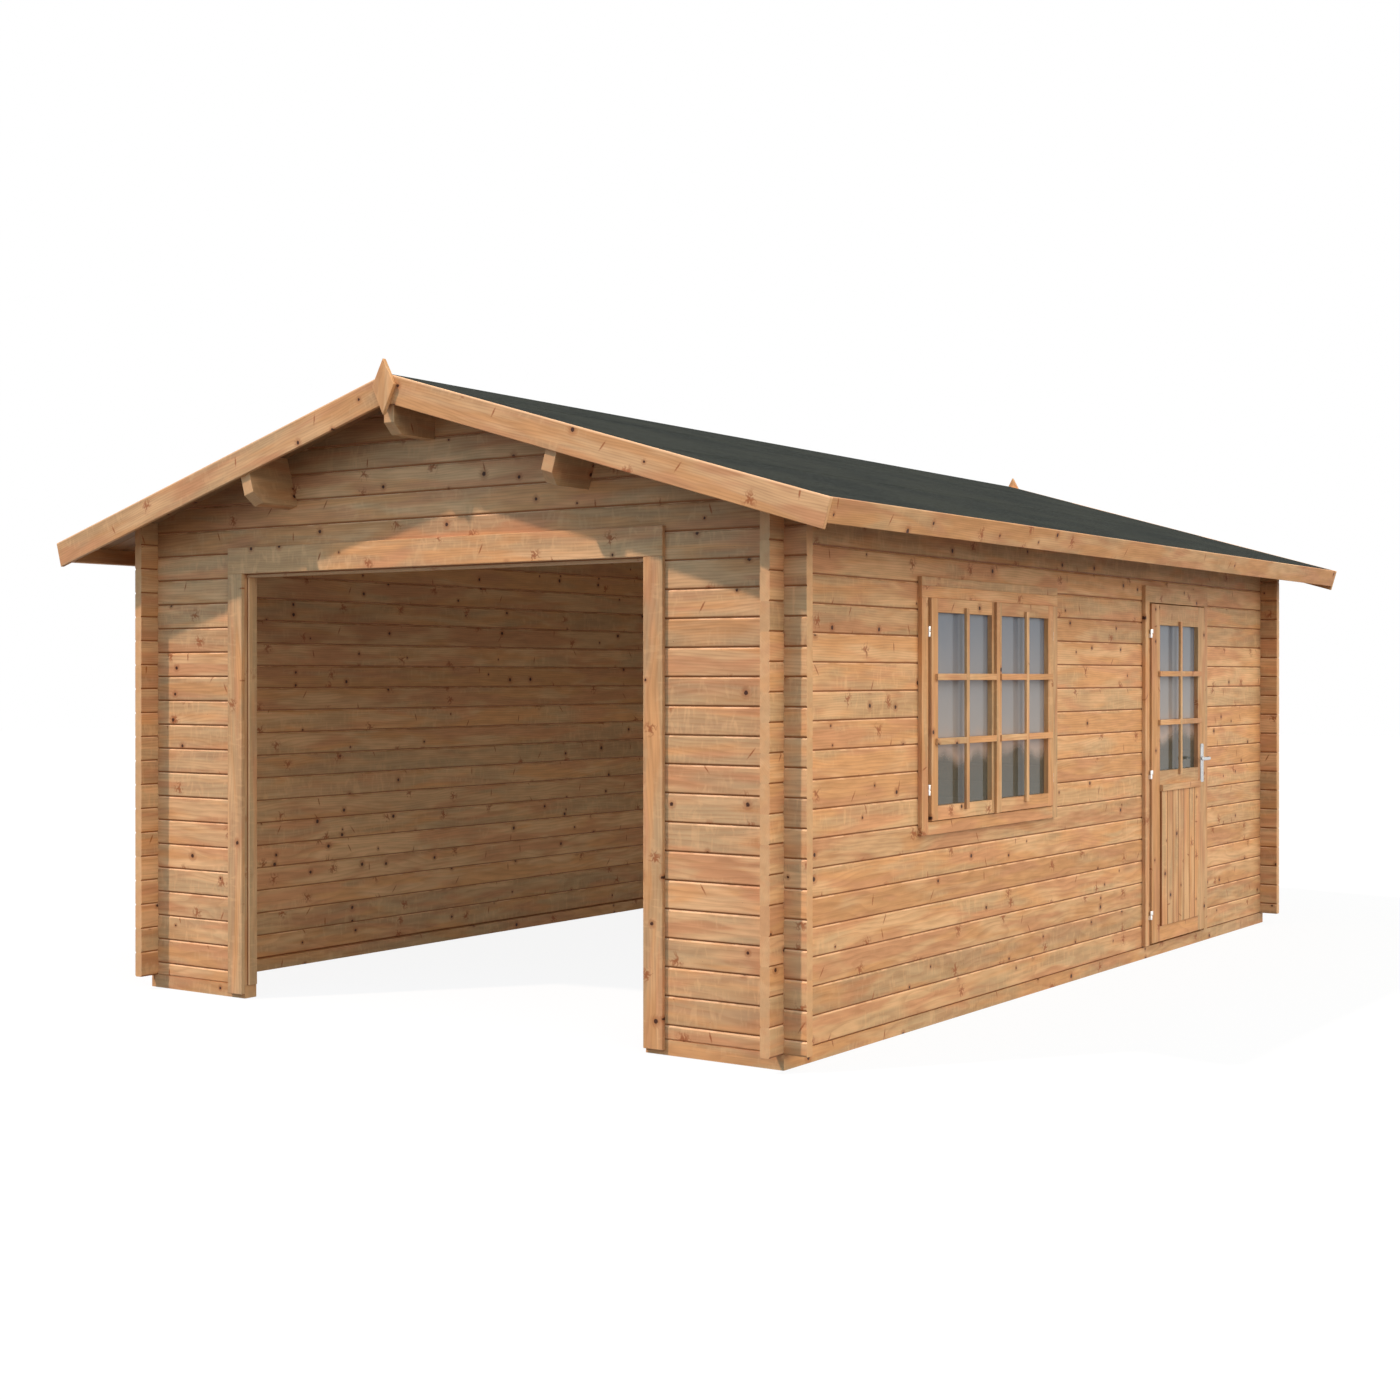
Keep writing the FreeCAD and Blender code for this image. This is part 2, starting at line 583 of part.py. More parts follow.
save("door_bars", [bar_grid(LEAF_FRONT, inner_y0, inner_y1, LEAF_MID_RAIL_Z1, glass_z1)])

# Door hinges: the lower half of each barrel and its pin are carried by the casing, and the
# upper half turns with the leaf.
HINGE_X = LEAF_FRONT
HINGE_Y = LEAF_Y0 - BARREL_SIDE
fixed_halves = []
moving_halves = []
for z in DOOR_HINGE_Z:
    low = z - BARREL_H / 2
    half = (BARREL_H - BARREL_SPLIT) / 2
    high = low + half + BARREL_SPLIT
    foot = Part.makeCylinder(BARREL_R, half, FreeCAD.Vector(HINGE_X, HINGE_Y, low))
    arm = box(HALF_W + CASING_T, HINGE_X, HINGE_Y - BARREL_R, HINGE_Y - BARREL_R / 2, low, low + half)
    pin = slab(rounded(HINGE_X, HINGE_Y, PIN_R, 0, 360, SIDES), "z", low + half, high + PIN_H)
    fixed_halves.append(foot.fuse([arm, pin]).removeSplitter())
    head = Part.makeCylinder(BARREL_R, half, FreeCAD.Vector(HINGE_X, HINGE_Y, high))
    wing = box(LEAF_FRONT, LEAF_FRONT + WING_T, HINGE_Y, LEAF_Y0 + WING_W, high, low + BARREL_H)
    bore = slab(rounded(HINGE_X, HINGE_Y, PIN_R + PIN_PLAY, 0, 360, SIDES),
                "z", high - CLEAR, high + PIN_H + BARREL_SPLIT)
    moving_halves.append(head.fuse(wing).removeSplitter().cut(bore))
save("door_hinge_fixed", fixed_halves)
save("door_hinge_moving", moving_halves)

# Lock plates on both faces of the leaf, with a slot for the key, and the pair of levers on
# their square spindle.
def across(shape, x, y, z):
    # Turns a shape made along +Z to run along +X, and puts its foot at a point.
    placed = shape.copy()
    placed.rotate(FreeCAD.Vector(0, 0, 0), FreeCAD.Vector(0, 1, 0), 90)
    placed.translate(FreeCAD.Vector(x, y, z))
    return placed


plates = []
neck_hole = rounded(plate_y, LEVER_Z, NECK_R + LEVER_PLAY, 0, 360, SIDES)
for x in (LEAF_FRONT, LEAF_BACK - PLATE_T):
    plate = box(x, x + PLATE_T, plate_y - PLATE_W / 2, plate_y + PLATE_W / 2, PLATE_Z0, PLATE_Z1)
    plate = plate.cut(slab(neck_hole, "x", x - CLEAR, x + PLATE_T + CLEAR))
    plate = plate.cut(box(x - CLEAR, x + PLATE_T + CLEAR, plate_y - KEY_W / 2, plate_y + KEY_W / 2,
                          KEYHOLE_Z - KEY_H / 2, KEYHOLE_Z + KEY_H / 2))
    plates.append(plate)
save("door_lock_plates", plates)
half = SPINDLE / 2
levers = box(LEAF_BACK, LEAF_FRONT, plate_y - half, plate_y + half, LEVER_Z - half, LEVER_Z + half)
grip = (rounded(plate_y, LEVER_Z, GRIP_H / 2, -90, 90, 6)
        + rounded(plate_y - LEVER_L, LEVER_Z, GRIP_H / 2, 90, 270, 6))
for neck_x, grip_x in ((LEAF_FRONT - SPINDLE_IN, LEAF_FRONT + LEVER_OUT - GRIP_T),
                       (LEAF_BACK - LEVER_OUT, LEAF_BACK - LEVER_OUT)):
    neck = across(Part.makeCylinder(NECK_R, LEVER_OUT + SPINDLE_IN), neck_x, plate_y, LEVER_Z)
    levers = levers.fuse([neck, slab(grip, "x", grip_x, grip_x + GRIP_T)])
save("door_levers", [levers.removeSplitter()])
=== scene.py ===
import bpy
import bmesh
import math
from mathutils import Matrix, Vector


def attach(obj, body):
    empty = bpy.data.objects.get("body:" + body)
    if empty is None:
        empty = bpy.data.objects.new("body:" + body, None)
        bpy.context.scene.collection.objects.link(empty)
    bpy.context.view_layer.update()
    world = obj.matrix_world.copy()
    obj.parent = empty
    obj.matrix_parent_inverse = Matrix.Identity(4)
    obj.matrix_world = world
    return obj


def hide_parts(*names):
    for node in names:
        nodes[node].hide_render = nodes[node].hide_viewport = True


# A wooden log garage, in the order in which it is put together: foundation, log walls,
# purlins, roof, wide doorway, window and side door, then ground, light and view.
# Everything is in metres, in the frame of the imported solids.
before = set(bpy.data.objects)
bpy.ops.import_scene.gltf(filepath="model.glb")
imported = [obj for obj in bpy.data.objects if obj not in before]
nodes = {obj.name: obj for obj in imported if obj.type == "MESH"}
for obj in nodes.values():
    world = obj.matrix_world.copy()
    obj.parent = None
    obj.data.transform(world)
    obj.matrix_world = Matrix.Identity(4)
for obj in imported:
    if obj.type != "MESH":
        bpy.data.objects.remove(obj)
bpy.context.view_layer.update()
bpy.ops.object.select_all(action="DESELECT")


# Foundation beams
# Square planed beams of stained pine under all four walls, mitred at the corners and
# stopped at the wide doorway. The log walls stand on them.
def link(tree, source, target):
    tree.links.new(source, target)


def calc(tree, operation, first, second=None, third=None):
    # One Math node. Each operand is a number or another node's output.
    node = tree.nodes.new("ShaderNodeMath")
    node.operation = operation
    for place, operand in enumerate((first, second, third)):
        if isinstance(operand, (int, float)):
            node.inputs[place].default_value = operand
        elif operand is not None:
            link(tree, operand, node.inputs[place])
    return node.outputs[0]


def ease(tree, value, low, high, to_low=0.0, to_high=1.0):
    # A value eased from one range to another, and held at its ends.
    node = tree.nodes.new("ShaderNodeMapRange")
    node.interpolation_type = "SMOOTHSTEP"
    for name, number in (("From Min", low), ("From Max", high), ("To Min", to_low), ("To Max", to_high)):
        node.inputs[name].default_value = number
    link(tree, value, node.inputs["Value"])
    return node.outputs["Result"]


def blend(tree, factor, first, second, mode="MIX"):
    # One colour mix. Each colour is a triple or another node's output.
    node = tree.nodes.new("ShaderNodeMix")
    node.data_type = "RGBA"
    node.blend_type = mode
    if isinstance(factor, (int, float)):
        node.inputs[0].default_value = factor
    else:
        link(tree, factor, node.inputs[0])
    for place, colour in ((6, first), (7, second)):
        if isinstance(colour, tuple):
            node.inputs[place].default_value = (*colour, 1.0)
        else:
            link(tree, colour, node.inputs[place])
    return node.outputs[2]


def vector_calc(tree, operation, first, second):
    # One Vector Math node. Each operand is a triple or another node's output.
    node = tree.nodes.new("ShaderNodeVectorMath")
    node.operation = operation
    for place, operand in enumerate((first, second)):
        if isinstance(operand, tuple):
            node.inputs[place].default_value = operand
        else:
            link(tree, operand, node.inputs[place])
    return node.outputs["Value" if operation == "DOT_PRODUCT" else "Vector"]


def noise(tree, vector, stretch, detail=2.0, rough=0.5, warp=0.0, output="Fac"):
    # Noise over a stretched vector, as one value or as three in a colour.
    node = tree.nodes.new("ShaderNodeTexNoise")
    for name, number in (("Scale", 1.0), ("Detail", detail), ("Roughness", rough), ("Distortion", warp)):
        node.inputs[name].default_value = number
    link(tree, vector_calc(tree, "MULTIPLY", vector, stretch), node.inputs["Vector"])
    return node.outputs[output]


def split(tree, source, kind="ShaderNodeSeparateXYZ"):
    # The three parts of a vector or a colour.
    node = tree.nodes.new(kind)
    link(tree, source, node.inputs[0])
    return node.outputs


STAIN_ORANGE = (0.640, 0.325, 0.138)
STAIN_PALE = (0.690, 0.410, 0.208)
STAIN_ROSE = (0.590, 0.282, 0.135)
STAIN_GREY = (0.475, 0.325, 0.176)
END_PALE = (0.640, 0.365, 0.180)
LATE_WOOD = (0.380, 0.160, 0.062)
KNOT_RED = (0.300, 0.080, 0.024)
KNOT_DARK = (0.040, 0.011, 0.005)
KNOT_CELL = (0.190, 0.072, 1.0)
BRANCH_CELL = (0.460, 0.110, 1.0)


def cell_of(tree, spot, size):
    # The offset from the middle of the nearest cell, in metres, and the cell's chances.
    cells = tree.nodes.new("ShaderNodeTexVoronoi")
    cells.voronoi_dimensions = "2D"
    cells.inputs["Scale"].default_value = 1.0
    cells.inputs["Randomness"].default_value = 0.85
    scaled = vector_calc(tree, "DIVIDE", spot, size)
    link(tree, scaled, cells.inputs["Vector"])
    away = vector_calc(tree, "SUBTRACT", scaled, cells.outputs["Position"])
    offset = split(tree, vector_calc(tree, "MULTIPLY", away, size))
    return offset, split(tree, cells.outputs["Color"], "ShaderNodeSeparateColor")


def length_of(tree, along, across):
    return calc(tree, "SQRT", calc(tree, "ADD", calc(tree, "MULTIPLY", along, along),
                                   calc(tree, "MULTIPLY", across, across)))


def make_pine():
    # Stained pine. The vector runs along the grain, across the face and into the wood.
    # The seed tells one board from the next, and the last input marks cut ends.
    tree = bpy.data.node_groups.new("stained_pine", "ShaderNodeTree")
    for name, kind, way in (("Grain", "Vector", "INPUT"), ("Seed", "Float", "INPUT"),
                            ("End", "Float", "INPUT"), ("Tone", "Float", "INPUT"),
                            ("Grey", "Float", "INPUT"),
                            ("Color", "Color", "OUTPUT"), ("Height", "Float", "OUTPUT"),
                            ("Roughness", "Float", "OUTPUT")):
        tree.interface.new_socket(name, in_out=way, socket_type="NodeSocket" + kind)
    given = tree.nodes.new("NodeGroupInput")
    result = tree.nodes.new("NodeGroupOutput")
    chance = tree.nodes.new("ShaderNodeTexWhiteNoise")
    chance.noise_dimensions = "1D"
    link(tree, given.outputs["Seed"], chance.inputs["W"])
    luck = split(tree, chance.outputs["Color"], "ShaderNodeSeparateColor")
    grain = given.outputs["Grain"]
    end = given.outputs["End"]
    side = calc(tree, "SUBTRACT", 1.0, end)
    # Each board is cut from its own stretch of wood.
    shift = vector_calc(tree, "MULTIPLY", chance.outputs["Color"], (37.0, 11.0, 5.0))
    spot = vector_calc(tree, "ADD", grain, shift)

    # Long soft bands of orange, pale, rose and grey stain.
    bands = noise(tree, spot, (1.9, 12.0, 12.0), 2.5, 0.5, 0.3, "Color")
    tones = split(tree, bands, "ShaderNodeSeparateColor")
    paler = calc(tree, "ADD", tones[0], calc(tree, "MULTIPLY_ADD", luck[0], 0.24, -0.12))
    greyer = calc(tree, "ADD", tones[2], calc(tree, "MULTIPLY_ADD", luck[1], 0.26, -0.14))
    greyer = calc(tree, "ADD", greyer, given.outputs["Grey"])
    grey = ease(tree, greyer, 0.48, 0.66)
    colour = blend(tree, ease(tree, paler, 0.41, 0.59), STAIN_ORANGE, STAIN_PALE)
    colour = blend(tree, ease(tree, tones[1], 0.46, 0.62, 0.0, 0.9), colour, STAIN_ROSE)
    colour = blend(tree, calc(tree, "MULTIPLY", grey, 0.60), colour, STAIN_GREY)

    # Growth rings about a heart beside the board, bent a little by noise.
    bend = noise(tree, spot, (1.3, 7.0, 7.0), 2.0)
    axes = split(tree, grain)
    ring_y = calc(tree, "ADD", axes[1], calc(tree, "MULTIPLY_ADD", luck[0], 0.12, -0.06))
    ring_z = calc(tree, "ADD", axes[2], calc(tree, "MULTIPLY_ADD", luck[1], 0.05, 0.02))
    ring = calc(tree, "MULTIPLY_ADD", bend, 0.055, length_of(tree, ring_y, ring_z))

    # Small round knots, and branches cut lengthwise that leave short dark whiskers.
    ragged = noise(tree, spot, (150.0, 150.0, 150.0), 1.0)
    rough_edge = calc(tree, "MULTIPLY_ADD", ragged, 0.006, -0.003)
    offset, kind = cell_of(tree, spot, KNOT_CELL)
    reach = calc(tree, "ADD", length_of(tree, offset[0], offset[1]), rough_edge)
    size = calc(tree, "MULTIPLY", calc(tree, "GREATER_THAN", kind[0], 0.84),
                calc(tree, "MULTIPLY_ADD", kind[1], 0.0060, 0.0042))
    core = calc(tree, "DIVIDE", reach, calc(tree, "MAXIMUM", size, 0.0001))
    knot = calc(tree, "MULTIPLY", ease(tree, core, 0.75, 1.20, 1.0, 0.0), side)
    halo = calc(tree, "MULTIPLY", ease(tree, core, 0.9, 3.6, 1.0, 0.0), side)
    branch, fate = cell_of(tree, spot, BRANCH_CELL)
    lean = calc(tree, "MULTIPLY_ADD", fate[1], 1.8, -0.9)
    slant = calc(tree, "MULTIPLY_ADD", branch[1], lean, branch[0])
    swirl = noise(tree, spot, (45.0, 45.0, 45.0), 1.0)
    turn = calc(tree, "MULTIPLY_ADD", swirl, 5.0, calc(tree, "ARCTAN2", branch[1], branch[0]))
    turn = calc(tree, "MULTIPLY_ADD", turn, 1.5, calc(tree, "MULTIPLY", fate[2], 6.3))
    rays = calc(tree, "ABSOLUTE", calc(tree, "COSINE", turn))
    star = calc(tree, "MULTIPLY_ADD", calc(tree, "POWER", rays, 3.0), 0.032, 0.011)
    star_reach = calc(tree, "ADD", length_of(tree, branch[0], branch[1]), rough_edge)
    star_mask = ease(tree, calc(tree, "DIVIDE", star_reach, star), 0.1, 1.2, 1.0, 0.0)
    spike = length_of(tree, calc(tree, "MULTIPLY", slant, 4.6), branch[1])
    spike = calc(tree, "ADD", spike, calc(tree, "MULTIPLY", rough_edge, 3.0))
    spike_mask = ease(tree, spike, 0.006, 0.030, 1.0, 0.0)
    star_mask = calc(tree, "MULTIPLY", star_mask, calc(tree, "GREATER_THAN", fate[0], 0.66))
    spike_mask = calc(tree, "MULTIPLY", spike_mask, calc(tree, "LESS_THAN", fate[0], 0.42))
    branch_mask = calc(tree, "MULTIPLY", calc(tree, "MAXIMUM", star_mask, spike_mask), side)

    # The rings swell round the knots. Fibres run fine and straight.
    ring = calc(tree, "ADD", ring, calc(tree, "MULTIPLY", halo, 0.007))
    wave = calc(tree, "FRACT", calc(tree, "MULTIPLY", ring, 135.0))
    late = calc(tree, "MULTIPLY", ease(tree, wave, 0.30, 0.90), ease(tree, wave, 0.90, 1.0, 1.0, 0.0))
    fibre = noise(tree, spot, (4.0, 240.0, 240.0), 2.0, 0.6)
    mottle = noise(tree, spot, (6.0, 34.0, 34.0), 2.0, 0.5)
    curl = ease(tree, noise(tree, spot, (34.0, 11.0, 11.0), 1.0, 0.5, 1.2), 0.50, 0.72)
    curl = calc(tree, "MULTIPLY", curl, ease(tree, greyer, 0.42, 0.60))
    colour = blend(tree, calc(tree, "MULTIPLY", late, 0.26), colour, LATE_WOOD)
    colour = blend(tree, ease(tree, fibre, 0.52, 0.74, 0.0, 0.30), colour, LATE_WOOD)
    colour = blend(tree, calc(tree, "MULTIPLY", curl, 0.45), colour, STAIN_PALE)
    tone = calc(tree, "ADD", ease(tree, mottle, 0.25, 0.75, 0.90, 1.10),
                calc(tree, "MULTIPLY_ADD", luck[2], 0.24, -0.10))
    tone = calc(tree, "MULTIPLY", tone, given.outputs["Tone"])
    shade = tree.nodes.new("ShaderNodeCombineColor")
    for socket in shade.inputs:
        link(tree, tone, socket)
    colour = blend(tree, 1.0, colour, shade.outputs[0], "MULTIPLY")
    colour = blend(tree, calc(tree, "MULTIPLY", end, 0.55), colour, END_PALE)
    colour = blend(tree, calc(tree, "MULTIPLY", halo, 0.50), colour, KNOT_RED)
    colour = blend(tree, calc(tree, "MULTIPLY", branch_mask, 0.85), colour, KNOT_RED)
    colour = blend(tree, calc(tree, "MULTIPLY", knot, 0.96), colour, KNOT_DARK)
    link(tree, colour, result.inputs["Color"])
    link(tree, fibre, result.inputs["Height"])
    link(tree, ease(tree, mottle, 0.3, 0.7, 0.64, 0.54), result.inputs["Roughness"])
    return tree


pine = make_pine()
X, Y, Z = (1.0, 0.0, 0.0), (0.0, 1.0, 0.0), (0.0, 0.0, 1.0)
# Painted shade for the joints and rebate corners, and a painted highlight for lit arrises and stop faces.
PAINTED_SHADE = (0.225, 0.074, 0.020)
PAINTED_HIGHLIGHT = (0.860, 0.520, 0.290)


def timber(name, along, across, seed=0.0, course=None, tone=1.0, grey=0.0, grey_from=None,
           crest=None, shade_under_roof=None, rebate=None):
    # Pine whose grain runs along one direction of the piece, with its faces across another.
    # A course is a log's height, where the first starts, and how far up from each joint the painted shade
    # reaches.
    # Grey sets in from one place along a board to another. The crest is its top arris, where a pale
    # highlight is painted.
    # Painted shade under the roof is given as a slope, its level, its reach down, how dark, and if only
    # inner faces take it.
    # A rebate is its corner and depth: a painted shadow lies in the corner, and a painted highlight on its
    # stop.
    material = bpy.data.materials.new(name)
    material.use_nodes = True
    tree = material.node_tree
    shader = tree.nodes["Principled BSDF"]
    where = tree.nodes.new("ShaderNodeTexCoord")
    into = tuple(Vector(along).cross(Vector(across)))
    place = tree.nodes.new("ShaderNodeCombineXYZ")
    for socket, direction in zip(place.inputs, (along, across, into)):
        link(tree, vector_calc(tree, "DOT_PRODUCT", where.outputs["Object"], direction), socket)
    wood = tree.nodes.new("ShaderNodeGroup")
    wood.node_tree = pine
    wood.inputs["Tone"].default_value = tone
    wood.inputs["Grey"].default_value = grey
    axes = split(tree, place.outputs[0])
    colour = wood.outputs["Color"]
    if grey_from:
        link(tree, ease(tree, axes[0], *grey_from), wood.inputs["Grey"])
    if crest:
        # A painted highlight along the top arris.
        crest_highlight = ease(tree, axes[1], crest - 0.009, crest - 0.004, 0.0, 0.85)
        colour = blend(tree, crest_highlight, colour, PAINTED_HIGHLIGHT)
    # Painted shade: the wood is darker towards the roof over a reach below its level, on the inner faces
    # only where asked.
    if shade_under_roof:
        rise, level, reach, dark, inner = shade_under_roof
        height = calc(tree, "MULTIPLY_ADD", calc(tree, "ABSOLUTE", axes[0]), math.sin(rise),
                      calc(tree, "MULTIPLY", axes[1], math.cos(rise)))
        shade = ease(tree, height, level - reach, level, 0.0, dark)
        if inner:
            sideways = vector_calc(tree, "MULTIPLY", where.outputs["Object"], where.outputs["Normal"])
            inward = calc(tree, "LESS_THAN", split(tree, sideways)[0], -0.5)
            shade = calc(tree, "MULTIPLY", shade, inward)
        link(tree, calc(tree, "MULTIPLY_ADD", shade, -tone, tone), wood.inputs["Tone"])
    # A painted highlight on the stop's front face, and a painted shadow along the rebate's corner under the
    # casing.
    if rebate:
        corner, depth = rebate
        back = split(tree, where.outputs["Object"])[1]
        stop = calc(tree, "MULTIPLY", calc(tree, "GREATER_THAN", back, depth - 0.002),
                    calc(tree, "LESS_THAN", back, depth + 0.003))
        corner_shadow = ease(tree, calc(tree, "ABSOLUTE", axes[1]), corner - 0.0065, corner - 0.0035, 0.0, 0.9)
        colour = blend(tree, calc(tree, "MULTIPLY", stop, 0.75 - 1.4 * grey), colour, PAINTED_HIGHLIGHT)
        colour = blend(tree, calc(tree, "MULTIPLY", stop, corner_shadow), colour, PAINTED_SHADE)
    link(tree, place.outputs[0], wood.inputs["Grain"])
    facing = calc(tree, "ABSOLUTE", vector_calc(tree, "DOT_PRODUCT", where.outputs["Normal"], along))
    cut_end = ease(tree, facing, 0.55, 0.85)
    link(tree, cut_end, wood.inputs["End"])
    if course:
        height, start, depth = course
        level = calc(tree, "DIVIDE", calc(tree, "SUBTRACT", axes[1], start), height)
        number = calc(tree, "FLOOR", level)
        above = calc(tree, "MULTIPLY", calc(tree, "FRACT", level), height)
        below = calc(tree, "SUBTRACT", height, above)
        # Over each joint: a painted highlight along the top arris of the log below, broken by noise, and
        # painted shade on the lower arris of the log above.
        highlight_breaks = noise(tree, place.outputs[0], (9.0, 2.0, 2.0), 2.0)
        long_face = calc(tree, "SUBTRACT", 1.0, cut_end)
        rim = calc(tree, "MULTIPLY", ease(tree, below, 0.003, 0.007, 1.0, 0.0),
                   ease(tree, highlight_breaks, 0.46, 0.58, 0.1, 0.75))
        groove = ease(tree, above, 0.003, depth, 0.86, 0.0)
        colour = blend(tree, calc(tree, "MULTIPLY", rim, long_face), colour, PAINTED_HIGHLIGHT)
        colour = blend(tree, calc(tree, "MULTIPLY", groove, long_face), colour, PAINTED_SHADE)
        # The walls stand in different metres across, so each has its own run of numbers.
        wall = calc(tree, "FLOOR", axes[2])
        number = calc(tree, "MULTIPLY_ADD", wall, 31.0, number)
    else:
        own = tree.nodes.new("ShaderNodeAttribute")
        own.attribute_name = "board"
        number = own.outputs["Fac"]
    link(tree, calc(tree, "ADD", number, seed), wood.inputs["Seed"])
    link(tree, colour, shader.inputs["Base Color"])
    link(tree, wood.outputs["Roughness"], shader.inputs["Roughness"])
    shader.inputs["Specular IOR Level"].default_value = 0.22
    relief = tree.nodes.new("ShaderNodeBump")
    relief.inputs["Strength"].default_value = 0.20
    relief.inputs["Distance"].default_value = 0.0010
    link(tree, wood.outputs["Height"], relief.inputs["Height"])
    link(tree, relief.outputs[0], shader.inputs["Normal"])
    return material


def dress(material, *names):
    # Gives the solids' own meshes a finish.
    for name in names:
        mesh = nodes[name].data
        mesh.materials.clear()
        mesh.materials.append(material)


sill_side = timber("pine_sill_side", Y, Z, 11.0, tone=1.05, grey=0.12)
sill_front = timber("pine_sill_front", X, Z, 12.0, tone=1.05, grey=0.12)
dress(sill_side, "foundation_left", "foundation_right")
dress(sill_front, "foundation_front", "foundation_back")

# Wall logs
# Planed pine logs, 44 by 114 mm, with bevelled edges, laid one on another and crossed at
# the corners, where both are notched. The grain runs along each log.
LOG_H = 0.114
BASE_H = 0.060
PITCH = math.radians(16.25)
WALL_X = 1.790
SIDE_COURSES = 19
EAVE_CUT = 0.017
PEAK_Z = BASE_H + SIDE_COURSES * LOG_H - EAVE_CUT + WALL_X * math.tan(PITCH)
# The logs have painted shade and a painted highlight at each joint, and painted shade under the roof: on the
# side logs' inner faces towards the top, and on the gable logs under the slopes.
side_logs = timber("pine_side_logs", Y, Z, 300.0, (LOG_H, BASE_H, 0.0100),
                   shade_under_roof=(0.0, 2.2, 1.2, 0.20, True))
end_logs = timber("pine_end_logs", X, Z, 900.0, (LOG_H, BASE_H - LOG_H / 2, 0.0125),
                  shade_under_roof=(PITCH, PEAK_Z * math.cos(PITCH), 0.24, 0.48, False))
dress(side_logs, "left_wall_logs_a", "left_wall_logs_b", "right_wall_logs_a", "right_wall_logs_b")
dress(end_logs, "front_wall_logs_a", "front_wall_logs_b", "back_wall_logs_a", "back_wall_logs_b")

# Purlins
# Three planed beams under the roof boards, let into the gable logs: one on edge at the
# ridge and one square to each slope. Their ends stand out and are cut back below.
CUT_SOFT = 0.0025
level_side = timber("pine_level_side", Y, Z, 13.0)
purlin_pine = timber("pine_purlins", Y, Z, 14.0, tone=0.80, grey=0.12)


def only(*pieces):
    bpy.ops.object.select_all(action="DESELECT")
    for piece in pieces:
        piece.select_set(True)
    bpy.context.view_layer.objects.active = pieces[0]


def smooth(piece, angle=35.0):
    only(piece)
    bpy.ops.object.shade_smooth_by_angle(angle=math.radians(angle))


def stand_for(piece, name, body, slot, *replaced):
    # Names a finished piece, ties it to its body and hides the solids it stands for.
    # The slot is not used.
    piece.name = name
    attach(piece, body)
    if replaced:
        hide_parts(*replaced)
    return piece


def copy_of(name):
    # A copy of a solid's mesh, merged, with each flat face in one.
    mesh = nodes[name].data.copy()
    piece = bpy.data.objects.new("copy", mesh)
    bpy.context.scene.collection.objects.link(piece)
    only(piece)
    bpy.ops.mesh.customdata_custom_splitnormals_clear()
    bpy.ops.object.mode_set(mode="EDIT")
    bpy.ops.mesh.select_all(action="SELECT")
    bpy.ops.mesh.remove_doubles(threshold=0.00002)
    bpy.ops.mesh.dissolve_limited(angle_limit=math.radians(0.3))
    bpy.ops.object.mode_set(mode="OBJECT")
    bpy.ops.object.shade_flat()
    return piece


def soften(piece, width, steps=2, angle=40.0, turned=False):
    # Eases the arrises that are sharper than an angle, and smooths what is turned.
    only(piece)
    arris = piece.modifiers.new("arris", "BEVEL")
    arris.width = width
    arris.segments = steps
    arris.limit_method = "ANGLE"
    arris.angle_limit = math.radians(angle)
    arris.use_clamp_overlap = False
    bpy.ops.object.modifier_apply(modifier="arris")
    if turned:
        smooth(piece)


def eased(name, piece_name, material, slot, width=CUT_SOFT, body="garage"):
    # A solid's copy with its arrises eased, shown in the solid's place.
    dress(material, name)
    piece = copy_of(name)
    soften(piece, width)
    return stand_for(piece, piece_name, body, slot, name)


eased("ridge_purlin", "planed_ridge_purlin", purlin_pine, "beam_timber", 0.002)
eased("side_purlins", "planed_side_purlins", purlin_pine, "beam_timber", 0.002)

# Roof boards
# Pine boards, 19 by 88 mm, nailed side by side down each slope over the purlins and the
# side walls, with chamfered lower edges that show as grooves from below.
DOWN_RIGHT = (math.cos(PITCH), 0.0, -math.sin(PITCH))
OVER_RIGHT = (math.sin(PITCH), 0.0, math.cos(PITCH))
DOWN_LEFT = (-math.cos(PITCH), 0.0, -math.sin(PITCH))
OVER_LEFT = (-math.sin(PITCH), 0.0, math.cos(PITCH))
EAVE_OUT = 0.356
ROOF_DOWN = WALL_X / math.cos(PITCH) + EAVE_OUT
ROOF_END = 2.982
BOARD_T = 0.019
ROOF_BOARDS = 68
BOARD_W = 2 * ROOF_END / ROOF_BOARDS
BOARD_CHAMFER = 0.0035


def pick(piece, kind, test):
    # Selects, in edit mode, the vertices, edges or faces that pass a test of their place.
    bpy.ops.mesh.select_mode(type=kind)
    bpy.ops.mesh.select_all(action="DESELECT")
    shape = bmesh.from_edit_mesh(piece.data)
    if kind == "VERT":
        for vertex in shape.verts:
            vertex.select_set(test(vertex.co))
    elif kind == "EDGE":
        for edge in shape.edges:
            edge.select_set(test(edge.verts[0].co, edge.verts[1].co))
    else:
        for face in shape.faces:
            face.select_set(test(face))
    shape.select_flush_mode()
    bmesh.update_edit_mesh(piece.data)


def block(low, high):
    # A block between two corners, its place in its mesh.
    middle = [(a + b) / 2 for a, b in zip(low, high)]
    bpy.ops.object.select_all(action="DESELECT")
    size = [b - a for a, b in zip(low, high)]
    bpy.ops.mesh.primitive_cube_add(size=1.0, location=middle, scale=size)
    bpy.ops.object.transform_apply(location=True, rotation=True, scale=True)
    return bpy.context.object


def number_boards(piece, number):
    # Each face carries the number of its board, for the wood's pattern.
    values = [float(number(face.center)) for face in piece.data.polygons]
    layer = piece.data.attributes.get("board") or piece.data.attributes.new("board", "FLOAT", "FACE")
    layer.data.foreach_set("value", values)
